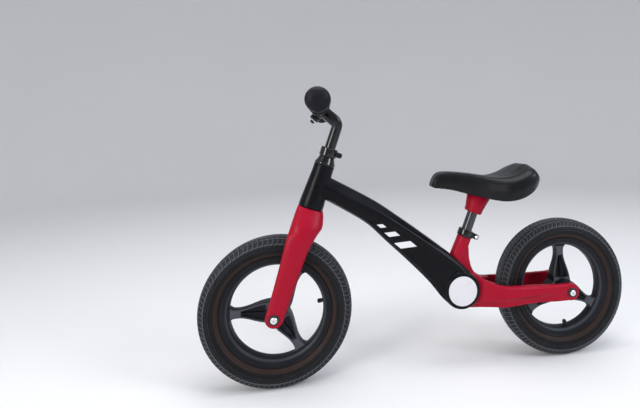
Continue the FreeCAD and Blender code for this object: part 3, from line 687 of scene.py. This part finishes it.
def stay_ring(side, share):
    """One slice of a stay: flat inside, with a crease between its two outer facets."""
    top = along(STAY_TOP, share)
    bottom = along(STAY_BOTTOM, share)
    x = (top.x + bottom.x) / 2
    outer = between([(-0.19, DROPOUT_OUTER), (-0.158, 46.5 * MM), (-0.13, 35 * MM),
                     (-0.11, 24 * MM), (-0.095, 18.6 * MM)], x)
    inner = between([(-0.285, DROPOUT_INNER), (-0.245, 33.8 * MM), (-0.165, 33.2 * MM),
                     (-0.14, 14 * MM), (-0.11, 0.0)], x)
    height = (top - bottom).length
    up = (top - bottom) / height
    crease = between(STAY_CREASE, x) * height
    thick = outer - inner
    tuck = between([(-0.275, 0.12), (-0.225, 0.58), (-0.19, 0.5), (-0.165, 0.36),
                    (-0.1, 0.3)], x) * thick
    lean = between([(-0.275, 0.08), (-0.22, 0.3), (-0.1, 0.2)], x) * thick
    corners = [
        (inner, 0.5 * MM, 1.5 * MM), (outer - tuck, 0, min(3 * MM, thick * 0.2)),
        (outer - tuck * 0.8, crease * 0.62, 5 * MM), (outer, crease, 0.6 * MM),
        (outer - lean * 0.55, height * 0.86, 5 * MM),
        (outer - lean - 2 * MM, height, min(4 * MM, thick * 0.3)),
        (inner, height - 0.5 * MM, 1.5 * MM),
    ]
    ring = []
    for u, v in rounded(corners, 5):
        spot = bottom + up * v
        ring.append(Vector((spot.x, side * u, spot.y)))
    return ring


def axle_eye(name, hub, side, radius, inner_edge, outer_edge):
    """The round end of a stay or a fork blade, about an axle."""
    place = local_frame(Vector((hub.x, side * DROPOUT_INNER, hub.z)), AXLE * side)
    width = DROPOUT_OUTER - DROPOUT_INNER
    return lathe(name, [
        (0, 0, 0), (radius, 0, inner_edge), (radius, width, outer_edge), (0, width, 0),
    ], place)


def make_rear_frame():
    """The stays, yoke, tongue and seat tube as one casting, with room for wheel and cheeks."""
    pieces = []
    for side in (LEFT, RIGHT):
        pieces.append(swept("stay", 60, lambda share: stay_ring(side, share)))
        pieces.append(axle_eye("dropout", REAR_HUB, side, 17.5 * MM, 1.5 * MM, 2.2 * MM))
    tongue = [
        (-0.062, 0.125, 0.01), (-0.051, 0.133, 0.01), (-0.0395, 0.15, 0.02),
        (-0.0275, 0.178, 0.04), (-0.0275, 0.208, 0.04), (-0.044, 0.23, 0.006),
        (-0.056, 0.226, 0.01), (-0.085, 0.198, 0.02), (-0.125, 0.17, 0.01),
        (-0.125, 0.125, 0.01),
    ]
    web = [
        (-0.05, 0.2, 0), (-0.056, 0.2325, 0.008), (-0.066, 0.255, 0.02),
        (-0.072, 0.2665, 0), (-0.093, 0.257, 0), (-0.0945, 0.245, 0.03),
        (-0.0945, 0.226, 0.05), (-0.099, 0.205, 0.04), (-0.1085, 0.1885, 0.03),
        (-0.13, 0.176, 0.02), (-0.13, 0.14, 0.01), (-0.08, 0.14, 0),
    ]
    pieces.append(slab("tongue", tongue, TONGUE_HALF - 0.4 * MM, 5 * MM))
    pieces.append(slab("web", web, 13 * MM, 6 * MM))
    pieces.append(lathe("seat_tube", mm(
        (0, -90, 0), (16, -90, 2), (16.5, -45, 60), (15.5, -24, 30), (15.5, -7.5, 1.4),
        (0, -7.5, 0)), SEAT))
    item = cast("rear_frame_casting", pieces, 1.1 * MM, 3)
    tools = []
    for side in (LEFT, RIGHT):
        low, high = sorted((side * 60 * MM, side * (TONGUE_HALF - 0.05 * MM)))
        tools.append(rod("cheek_room", 39.2 * MM, low, high, across(BOSS), 128))
    front, back, low, high = -0.149, -0.36, 0.09, 0.22
    tools += [
        slab("wheel_room", [(front, low, 0), (back, low, 0), (back, high, 0), (front, high, 0)],
             33 * MM),
        rod("post_bore", POST_BORE, -119 * MM, 30 * MM, SEAT),
        rod("dropout_hole", AXLE_HOLE, -60 * MM, 60 * MM, across(REAR_HUB), 32),
    ]
    carve(item, tools)
    neck = lathe("seat_neck", [
        (POST_BORE, -9 * MM, 0), (13.95 * MM, -9 * MM, 0), (13.95 * MM, 7.4 * MM, 0.5 * MM),
        (POST_BORE, 7.4 * MM, 0.5 * MM),
    ], SEAT, closed=True)
    item = joined("rear_frame_casting", [item, neck])
    sharp_above(item, 35)
    dress(item, "red_paint", "frame", "rear_frame")


# ---- fork

FORK_TOP = 0.2113


def fork_stops(*stops):
    """Stops of a height above the hub in metres, and a distance in millimetres."""
    return [(height, distance * MM) for height, distance in stops]


# How far a blade reaches ahead of and behind the steering axis, and out from the middle.
FORK_AHEAD = fork_stops((0, 17.4), (0.045, 19.2), (0.091, 21.8), (0.165, 26.2), (0.195, 26.2),
                        (FORK_TOP, 25.5))
FORK_BEHIND = fork_stops((0, 17.4), (0.041, 18.8), (0.098, 20.3), (0.13, 21.5), (0.151, 24.8),
                         (0.167, 29.8), (0.183, 34.6), (0.198, 31.5), (FORK_TOP, 25.5))
FORK_OUTER = fork_stops((0, 50), (0.12, 50), (0.15, 48.8), (0.172, 45), (0.19, 37), (0.203, 29),
                        (FORK_TOP, 25.5))
FORK_INNER = fork_stops((0.0, 38), (0.025, 37.4), (0.06, 32.6), (0.12, 31.8), (0.145, 28),
                        (0.158, 18), (0.164, 0.0))


def fork_ring(side, height):
    """One slice of a blade, across the steering axis."""
    ahead, behind, outer, inner = (
        between(stops, height) for stops in (FORK_AHEAD, FORK_BEHIND, FORK_OUTER, FORK_INNER))
    centre = Vector(((ahead - behind) / 2, side * (outer + inner) / 2, height))
    length, width = (ahead + behind) / 2, (outer - inner) / 2
    power = 2 / between([(0, 2.7), (0.03, 2.3), (0.1, 2.15), (FORK_TOP, 2.0)], height)
    return oval(STEER, centre, length, width, power)


def make_fork():
    """Two blades and a crown as one casting, and the steerer above them."""
    pieces = []
    for side in (LEFT, RIGHT):
        pieces.append(swept("blade", 64, lambda share: fork_ring(side, FORK_TOP * share)))
        pieces.append(axle_eye("tip", FRONT_HUB, side, 17.4 * MM, 2 * MM, 3 * MM))
    pieces.append(lathe("crown", [
        (0, 0.172, 0), (22 * MM, 0.172, 6 * MM), (25.5 * MM, 0.196, 20 * MM),
        (25.5 * MM, 0.2135, 1 * MM), (0, 0.2135, 0),
    ], STEER))
    item = cast("fork_casting", pieces, 1.25 * MM, 14)
    trim = rod("crown_face", 60 * MM, FORK_TOP - 0.2 * MM, 0.24, STEER)
    hole = rod("tip_hole", AXLE_HOLE, -60 * MM, 60 * MM, across(FRONT_HUB), 32)
    carve(item, [trim, hole])
    bore, outside, low, high = 11.25 * MM, 14.3 * MM, 0.2, 0.3378
    steerer = lathe("steerer", [
        (bore, low, 0), (outside, low, 0), (outside, high, 0.5 * MM), (bore, high, 0.5 * MM),
    ], STEER, closed=True)
    item = joined("fork_casting", [item, steerer])
    sharp_above(item, 35)
    dress(item, "red_paint", "steering", "fork")


# ---- wheels

PITCHES = 92
TREAD_DEPTH = 1.7 * MM
# Where each row of tread blocks starts and ends, in mm across from the crown.
TREAD_ROWS = ((-3.1, 3.1), (4.3, 9.6), (10.9, 17.2), (18.5, 28.3))
# Where each block is cut, as shares of its pitch: full gaps at the ends, a sipe between.
BLOCK_CUTS = (0.0, 0.05, 0.1, 0.3, 0.47, 0.5, 0.53, 0.7, 0.9, 0.95)
# Fine rings moulded in the sidewall, in mm across from the crown, and half their width.
RING_HALF = 0.5
TYRE_RINGS = (30.3, 32.1, 36.5, 47.0, 49.4, 52.4)


def tyre_profile():
    """Half a tyre's outside as (radius, half width) points, from the crown to the bead."""
    crown = TYRE_RADIUS - TREAD_DEPTH
    corners = [
        (crown, 0, 0), (crown - 0.3 * MM, 9 * MM, 18 * MM),
        (0.1437, 17.0 * MM, 9 * MM), (0.135, 21.9 * MM, 12 * MM),
        (0.124, 23.2 * MM, 12 * MM), (0.1135, 19.6 * MM, 8 * MM), (0.1093, 16.2 * MM, 2 * MM),
    ]
    return [Vector(point) for point in rounded(corners, 12, closed=False)]


def tyre_stations():
    """Where the tyre's skin has a row of points, in mm across from the crown."""
    edge = 0.45
    stations = set()
    for start, end in TREAD_ROWS:
        start = max(start, 0)
        stations |= {start, end, end + edge, max(start - edge, 0)}
        spans = max(1, round((end - start) / 2.2))
        stations |= {start + (end - start) * step / spans for step in range(spans)}
    for ring in TYRE_RINGS:
        stations |= {ring - RING_HALF, ring, ring + RING_HALF}
    stations |= {34, 39.5, 42, 44.5, 54, 55.5}
    return sorted(stations)


def tread(far, share):
    """How far the tread stands up, from 0 to 1, and how light it is painted there: a painted highlight on a
    block's leading edge and outer end, a little greyer where its top is worn.
    """
    for start, end in TREAD_ROWS:
        if not start <= far <= end:
            continue
        if share == 0.0:
            lift = 0.75 if start < 0 else 0.0
        elif share in (0.05, 0.95):
            lift = 1.0 if start < 0 else 0.06
        else:
            lift = 0.72 if share == 0.5 and start > 0 else 1.0
        # 1.0 paints a highlight on a block's leading edge and outer end; 0.12 greys its worn top.
        highlight_and_wear = 1.0 if share == 0.1 or far == end else 0.12
        return lift, highlight_and_wear if lift > 0.9 else 0.0
    return 0.0, 0.0


def make_tyre(side, hub, body):
    """A tyre's skin, bead to bead, with its tread raised on it, and by point its painted highlights with worn tops
    and its painted brownish sheen.
    """
    curve = tyre_profile()
    lengths = [0]
    for first, last in zip(curve, curve[1:]):
        lengths.append(lengths[-1] + (last - first).length / MM)
    half = []
    for station in tyre_stations():
        station = min(station, lengths[-1] - 0.01)
        index = next(i for i, length in enumerate(lengths[1:]) if length >= station)
        first, last = curve[index], curve[index + 1]
        t = (station - lengths[index]) / (lengths[index + 1] - lengths[index])
        lean = (last - first).normalized()
        half.append((station, first.lerp(last, t), Vector((abs(lean.y), -lean.x))))
    bead = [(60, Vector((0.1085, 13.2 * MM)), Vector((0, 0))),
            (61, Vector((0.1022, 13.2 * MM)), Vector((0, 0)))]
    left = half + bead
    right = [(-station, Vector((spot.x, -spot.y)), Vector((out.x, -out.y)))
             for station, spot, out in reversed(left[1:])]
    profile = right + left
    rows = len(profile)
    place = across(hub)
    points, wear_and_highlight, warm_sheen = [], [], []
    for pitch in range(PITCHES):
        for share in BLOCK_CUTS:
            for station, spot, out in profile:
                far = abs(station)
                lift, highlight_and_wear = tread(far, share)
                ring = max(1 - abs(far - line) / RING_HALF for line in TYRE_RINGS)
                rise = lift * TREAD_DEPTH + max(0, ring) * 0.4 * MM
                slant = tread_slant(far) if station > 0 else -tread_slant(far)
                angle = math.tau * (pitch + share + slant) / PITCHES
                radius = spot.x + out.x * rise
                height = spot.y + out.y * rise
                points.append(place @ Vector((radius * math.cos(angle),
                                              radius * math.sin(angle), height)))
                # Painted highlight on block edges, lighter ridges along the sidewall rings, worn block tops.
                wear_and_highlight.append(max(highlight_and_wear, 0.35 * ring))
                # Painted brownish sheen on the sidewall next to the rim.
                warm_sheen.append(1.0 if 45 < far < 56 else 0.0)
    faces = turned_faces(PITCHES * len(BLOCK_CUTS), rows, rows)
    item = mesh_object(f"{side}_tyre_tread", points, faces)
    point_values(item, "wear_and_highlight", wear_and_highlight)
    point_values(item, "warm_sheen", warm_sheen)
    sharp_above(item, 50)
    dress(item, "tyre_rubber", body, f"{side}_tyre")


def tread_slant(far):
    """How much the grooves have turned, in pitches, at a distance across from the crown."""
    return between([(0, 0.0), (3.5, 0.0), (10.2, 0.5), (17.8, 0.15), (28.5, 0.45),
                    (34, 0.45)], far)


# Half the spoke's depth along the axle, by distance from the hub's middle.
SPOKE_HIGH = mm((11, 15.5), (30, 12), (66, 8.8), (94, 9))


def spoke(hub_place, turn):
    """One spoke: two walls that close in from the hub, a sunk web and a thin rib between."""
    place = hub_place @ Matrix.Rotation(math.radians(turn), 4, "Z")
    rings = []
    stations = 60
    for index in range(stations + 1):
        radius = (11 + 83 * index / stations) * MM
        half = between(mm((11, 20), (22, 19.5), (74, 8.6), (82, 9.2), (89, 13), (94, 21)),
                       radius)
        high = between(SPOKE_HIGH, radius)
        depth = between(mm((19, 0), (22.5, 8), (60, 6.4), (69, 0)), radius)
        wall = between(mm((20, 3.4), (60, 3.4), (80, 5)), radius)
        web = half - wall
        rib = 0.8 * MM
        face = [
            (half, high - 2.6 * MM, 1.2 * MM), (half - 1.2 * MM, high, 0.5 * MM),
            (web, high, 0.4 * MM), (web - 1.0 * MM, high - depth, 0.5 * MM),
            (rib * 2, high - depth, 0.4 * MM), (rib, high - depth * 0.35, 0.3 * MM),
        ]
        upper = mirrored(face)
        outline = upper + [(-u, -v, r) for u, v, r in upper]
        rings.append([place @ Vector((radius, u, v)) for u, v in rounded(outline, 2)])
    return loft("spoke", rings)


def make_wheel(side, hub, body, turn):
    """A rim, a hub shell and three spokes, with a painted highlight noted by point on the spokes' wall tops and
    the rim's lip.
    """
    place = across(hub) @ Matrix.Rotation(math.radians(turn), 4, "Z")
    half = 15.9 * MM
    rim_corners = [
        (0.0905, 0, 6 * MM), (0.0912, 8 * MM, 3 * MM), (0.0945, half - 3.5 * MM, 2.5 * MM),
        (0.0985, half - 1.2 * MM, 2 * MM), (0.1062, half - 0.6 * MM, 0.8 * MM),
        (0.1068, half, 0.5 * MM), (0.1081, half, 0.5 * MM), (0.1083, half - 2.4 * MM, 0.4 * MM),
        (0.1016, half - 2.5 * MM, 0.6 * MM), (0.101, 9 * MM, 1 * MM), (0.0985, 7.5 * MM, 1 * MM),
    ]
    mirror = [(radius, -height, soft) for radius, height, soft in reversed(rim_corners[1:])]
    rim = lathe("rim", rim_corners + mirror, place, 192, 4, closed=True)
    shell = lathe("hub_shell", mm(
        (11.5, -20, 0), (13, -22, 0), (13, -29.9, 0.6), (16.6, -29.9, 1.5), (17.5, -14, 6),
        (17.5, 14, 6), (16.6, 29.9, 1.5), (13, 29.9, 0.6), (13, 22, 0), (11.5, 20, 0),
    ), place, 96, 4, closed=True)
    spokes = [spoke(place, 120 * index) for index in range(3)]
    item = joined(f"{side}_wheel_casting", [rim, shell] + spokes)
    sharp_above(item, 40)
    back = place.inverted()
    # Painted highlight by point: 1.0 on the spokes' wall tops, 0.6 on the rim's lip.
    highlight_marks = []
    for vertex in item.data.vertices:
        spot = back @ vertex.co
        radius, height = math.hypot(spot.x, spot.y), abs(spot.z)
        wall = 21 * MM < radius < 88 * MM and height > between(SPOKE_HIGH, radius) - 0.5 * MM
        lip = 93 * MM < radius < 96.5 * MM and height > 10 * MM
        highlight_marks.append(1.0 if wall else 0.6 if lip else 0.0)
    point_values(item, "edge", highlight_marks)
    dress(item, "wheel_black", body, f"{side}_wheel")


def make_valve(side, hub, body):
    """A valve's dust cap, which points at the hub."""
    low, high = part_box(f"{side}_valve_cap")
    centre = (low + high) / 2
    centre.y = 0
    inward = (Vector((hub.x, 0, hub.z)) - centre).normalized()
    place = local_frame(centre - inward * 4.5 * MM, inward, AXLE)
    cap = lathe(f"{side}_valve_dust_cap", mm(
        (0, 0, 0), (4.2, 0, 0.4), (4.4, 6.5, 1), (2.6, 8.8, 1), (0, 9, 0)), place, 12, 3)
    dress(cap, "black_plastic", body, f"{side}_valve_cap")


# ---- stem and grips

ELBOW_DROP = 18 * MM
QUILL_RADIUS = 11.1 * MM


def make_stem():
    """The tube up from the steerer, bent forward into a thick reach, its clamp and the ears."""
    reach = STEER.inverted() @ BAR
    elbow = Vector((0, 0, reach.z - ELBOW_DROP))
    ahead = Vector((reach.x, 0, ELBOW_DROP)).normalized()
    lift = math.atan2(ELBOW_DROP, reach.x)
    turn = math.pi / 2 - lift
    bend = 15 * MM
    start = elbow.z - bend * math.tan(turn / 2)
    route = [(Vector((0, 0, height)), 0.0) for height in (0.262, 0.3, 0.34, start)]
    steps = 12
    for step in range(1, steps + 1):
        angle = turn * step / steps
        spot = Vector((bend * (1 - math.cos(angle)), 0, start + bend * math.sin(angle)))
        route.append((spot, step / steps))
    last = route[-1][0]
    left_over = (reach - last).dot(ahead)
    route += [(last + ahead * left_over * share, 1.0) for share in (0.25, 0.5, 0.75, 1.0)]
    rings = []
    for index, (spot, grown) in enumerate(route):
        way = route[min(index + 1, len(route) - 1)][0] - route[max(index - 1, 0)][0]
        place = STEER @ local_frame(spot, way.normalized(), Vector((0, 1, 0)))
        wide, tall = QUILL_RADIUS + 1.9 * MM * grown, QUILL_RADIUS + 1.4 * MM * grown
        rings.append(oval(place, Vector((0, 0, 0)), wide, tall, 1 - 0.48 * grown))
    tube = loft("stem_tube", rings)
    clamp = lathe("stem_clamp", mm(
        (11.15, -21, 0.6), (15.4, -21, 1.5), (16.2, -15, 6), (16.2, 15, 6), (15.4, 21, 1.5),
        (11.15, 21, 0.6)), across(BAR), 96, 4, closed=True)
    place = STEER @ Matrix.Translation(reach) @ Matrix.Rotation(-lift, 4, "Y")
    ears = []
    for low, high in mm((-26.5, -18.6), (-16.4, -9)):
        ring = rounded(mm((-14, -9, 4), (5, -9, 3), (5, 9, 3), (-14, 9, 4)), 4)
        ear = loft("ear", [[place @ Vector((u, v, height)) for u, v in ring]
                           for height in (low, high)])
        ears.append(bevelled(ear, 0.8 * MM, 2, 30))
    item = joined("stem_forging", [tube, clamp] + ears)
    sharp_above(item, 40)
    dress(item, "black_gloss", "handlebar_set", "stem")


def make_grips():
    """Sleeves with an inner flange, soft ribs and a bulb at the outer end."""
    for side, name in ((LEFT, "left"), (RIGHT, "right")):
        low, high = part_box(f"grip_{name}")
        end = high.y if side == LEFT else -low.y
        start = low.y if side == LEFT else -high.y
        place = local_frame(BAR, AXLE * side)
        profile = [
            (11.1 * MM, start, 0), (17.5 * MM, start, 1.5 * MM),
            (19.9 * MM, start + 1 * MM, 2 * MM), (19.9 * MM, start + 5.5 * MM, 2 * MM),
            (16.4 * MM, start + 9 * MM, 3 * MM),
        ]
        ribs = 9
        first = start + 13 * MM
        last = end - 36 * MM
        for rib in range(ribs):
            middle_place = first + (last - first) * (rib + 0.5) / ribs
            pitch = (last - first) / ribs
            swell = 0.9 * MM * math.sin(math.pi * (rib + 0.5) / ribs)
            for shift, radius in ((-0.42, 14.7), (-0.3, 15.6), (0.3, 15.6), (0.42, 14.7)):
                profile.append((radius * MM + swell, middle_place + shift * pitch, 0.5 * MM))
        profile += [
            (15.2 * MM, end - 34 * MM, 4 * MM), (16.5 * MM, end - 29 * MM, 4 * MM),
            (20.9 * MM, end - 23.5 * MM, 6 * MM), (21 * MM, end - 11 * MM, 12 * MM),
            (16.5 * MM, end - 3.2 * MM, 9 * MM), (9 * MM, end - 0.5 * MM, 14 * MM), (0, end, 0),
        ]
        item = lathe(f"grip_{name}_sleeve", profile, place, 128, 6)
        sharp_above(item, 60)
        dress(item, "grip_rubber", "handlebar_set", f"grip_{name}")


# ---- saddle

# The saddle's top and bottom edges in X and Z from nose to tail, and its half width by X.
SADDLE_TOP = [(-0.0145, 0.384), (-0.019, 0.3945), (-0.0255, 0.4045), (-0.036, 0.4105),
              (-0.06, 0.4108), (-0.101, 0.406), (-0.14, 0.3995), (-0.165, 0.3995),
              (-0.183, 0.405), (-0.199, 0.413), (-0.212, 0.4205), (-0.223, 0.4235),
              (-0.233, 0.42), (-0.2405, 0.4105), (-0.245, 0.3985), (-0.2465, 0.39)]
SADDLE_LOW = [(-0.0145, 0.3805), (-0.017, 0.3785), (-0.0215, 0.3772), (-0.033, 0.376),
              (-0.06, 0.3715), (-0.1, 0.36), (-0.135, 0.352), (-0.156, 0.349),
              (-0.174, 0.3495), (-0.19, 0.3525), (-0.205, 0.3575), (-0.218, 0.3645),
              (-0.229, 0.372), (-0.238, 0.379), (-0.244, 0.384), (-0.2462, 0.3865)]
SADDLE_WIDTH = [(-0.2465, 0.03), (-0.244, 0.046), (-0.236, 0.061), (-0.222, 0.0695),
                (-0.203, 0.0712), (-0.18, 0.0675), (-0.152, 0.053), (-0.125, 0.0375),
                (-0.095, 0.0265), (-0.06, 0.0225), (-0.035, 0.0205), (-0.0205, 0.0175),
                (-0.0145, 0.0115)]


def saddle_ring(share):
    """One slice of the saddle: crowned top, rounded shoulder and a skirt that tucks in."""
    top = along(SADDLE_TOP, share)
    low = along(SADDLE_LOW, share)
    half = between(SADDLE_WIDTH, top.x)
    drop = top.y - low.y
    dish = between([(-0.22, 0.0), (-0.175, 2.2 * MM), (-0.1, 0.0)], top.x)
    fall = between([(-0.24, 9 * MM), (-0.205, 7 * MM), (-0.165, 1 * MM), (-0.13, 0.0)], top.x)
    corners = [
        (half * 0.3, -dish, half * 0.4), (half * 0.8, -fall, half * 0.24),
        (half * 0.98, -drop * 0.26 - fall * 0.5, half * 0.24), (half, -drop * 0.62, half * 0.3),
        (half * 0.9, -drop, 4 * MM), (half * 0.7, -drop + 1 * MM, 3 * MM),
        (half * 0.55, -drop * 0.66, 3 * MM),
    ]
    ring = []
    for u, v in rounded(mirrored(corners), 7):
        ring.append(Vector((top.x + (low.x - top.x) * (-v / drop), u, top.y + v)))
    return ring


def make_saddle():
    """The cushion, hollowed underneath for the bracket's cone."""
    item = swept("saddle_cushion", 72, saddle_ring)
    soft = cast("saddle_cushion", [item], 1.5 * MM, 10)
    room = lathe("bracket_room", mm((0, 44, 0), (20.6, 44, 0), (20.6, 57, 0), (28.5, 97, 0),
                                    (0, 97, 0)), SEAT)
    carve(soft, [room], 50)
    dress(soft, "saddle_skin", "saddle_set", "saddle_pad")


def make_bracket():
    item = lathe("saddle_bracket_cone", mm(
        (11.15, 47, 0.6), (17.2, 47, 1.5), (19.2, 50, 2), (19.6, 57, 14), (26.5, 92, 0),
        (11.15, 92, 0)), SEAT, 96, 5, closed=True)
    dress(item, "red_paint", "saddle_set", "saddle_bracket")


# ---- collars

def make_collar(node, body, place, inner, outer, low, high, reach):
    """A split band with two bevelled ears behind it."""
    band = lathe("band", [
        (inner, low, 0), (outer, low, 1.2 * MM), (outer, high, 1.2 * MM), (inner, high, 0),
    ], place, 96, 3, closed=True)
    centre = (low + high) / 2
    ears = []
    for side in (LEFT, RIGHT):
        ring = rounded([(-reach - 5.5 * MM, centre - 5.5 * MM, 4 * MM),
                        (-outer + 3 * MM, centre - 5.5 * MM, 0),
                        (-outer + 3 * MM, centre + 5.5 * MM, 0),
                        (-reach - 5.5 * MM, centre + 5.5 * MM, 4 * MM)], 5)
        ear = loft("ear", [[place @ Vector((u, side * y, v)) for u, v in ring]
                           for y in (1.2 * MM, 8.5 * MM)])
        ears.append(bevelled(ear, 0.7 * MM, 2, 30))
    item = joined(f"{node}_band", [band] + ears)
    sharp_above(item, 40)
    dress(item, "black_gloss", body, node)


def make_headset_cap():
    item = lathe("headset_cover", [
        (14.35 * MM, 0.3027, 0), (20.9 * MM, 0.3027, 0.8 * MM), (21 * MM, 0.3062, 1.5 * MM),
        (19.2 * MM, 0.3095, 3 * MM), (15.6 * MM, 0.3185, 2 * MM), (14.9 * MM, 0.32, 0.6 * MM),
        (14.35 * MM, 0.32, 0),
    ], STEER, 96, 4, closed=True)
    dress(item, "black_gloss", "steering", "headset_cap")


# ---- stage

def make_stage():
    """A pale round floor that curves up into a plain wall all round the bike."""
    radius, sweep, height = 6.0, 2.5, 7.0
    corners = [(0, 0, 0), (radius, 0, sweep), (radius, height, 0)]
    place = local_frame(Vector((0, 0, 0)), Vector((0, 0, 1)))
    floor = lathe("floor", corners, place, 96, 16)
    finish = Finish("floor_finish", (0.78, 0.78, 0.79), 0.65)
    finish.tint(finish.ramp(finish.noise(0.6, 3), 0.3, 0.8, 0, 0.3), (0.74, 0.74, 0.755))
    floor.data.materials.append(finish.material)
    world = bpy.context.scene.world or bpy.data.worlds.new("world")
    bpy.context.scene.world = world
    world.use_nodes = True
    sky = next(n for n in world.node_tree.nodes if n.type == "BACKGROUND")
    sky.inputs["Color"].default_value = (0.94, 0.96, 1.0, 1)
    sky.inputs["Strength"].default_value = 0.75


def soft_light(name, place, aim, size, power, tint=(1, 1, 1)):
    data = bpy.data.lights.new(name, "AREA")
    data.shape = "RECTANGLE"
    data.size, data.size_y = size
    data.energy = power
    data.color = tint
    lamp = add_object(name, data)
    lamp.location = place
    lamp.rotation_euler = (Vector(aim) - Vector(place)).to_track_quat("-Z", "Y").to_euler()


def make_lights():
    centre = (0, 0, 0.28)
    soft_light("top_softbox", (0.1, 0.2, 2.3), centre, (1.8, 0.8), 24)
    soft_light("front_softbox", (2.0, 1.5, 1.1), centre, (0.7, 1.3), 34, (1, 0.98, 0.96))
    soft_light("rear_softbox", (-1.8, 1.2, 1.5), centre, (0.7, 1.1), 30, (0.86, 0.92, 1))


def make_camera():
    """Left side, above the saddle and below the bar, with the bike low and right."""
    data = bpy.data.cameras.new("camera")
    data.sensor_width = 36
    data.lens = 22.58
    data.shift_x = data.shift_y = -0.1172
    data.clip_start = 0.01
    camera = add_object("camera", data)
    place = Vector((0.2, 0.8428, 0.4829))
    heading = math.radians(180 - 9.474)
    pitch = 0.0266
    roll = -0.0231
    look = Vector((-math.sin(heading) * math.cos(pitch), math.cos(heading) * math.cos(pitch),
                   math.sin(pitch)))
    right = look.cross(Vector((0, 0, 1))).normalized()
    up = right.cross(look)
    right, up = (right * math.cos(roll) + up * math.sin(roll),
                 up * math.cos(roll) - right * math.sin(roll))
    turn = Matrix((right, up, -look)).transposed().to_4x4()
    camera.matrix_world = Matrix.Translation(place) @ turn
    bpy.context.scene.camera = camera
    bpy.context.scene.view_settings.view_transform = "Standard"


dress_cad()
casting = make_front_frame()
make_marks(casting)
make_discs()
make_rear_frame()
make_fork()
for side, hub, body, turn in (("front", FRONT_HUB, "front_wheel_set", 0),
                              ("rear", REAR_HUB, "rear_wheel_set", -90)):
    make_tyre(side, hub, body)
    make_wheel(side, hub, body, turn)
    make_valve(side, hub, body)
make_stem()
make_grips()
make_saddle()
make_bracket()
make_collar("seat_clamp_collar", "frame", SEAT, 14 * MM, 17 * MM, -7.5 * MM, 7.5 * MM, 24 * MM)
make_collar("stem_clamp_collar", "steering", STEER, 14.35 * MM, 17.5 * MM, 0.3201, 0.3385,
            23 * MM)
make_headset_cap()
make_stage()
make_lights()
make_camera()
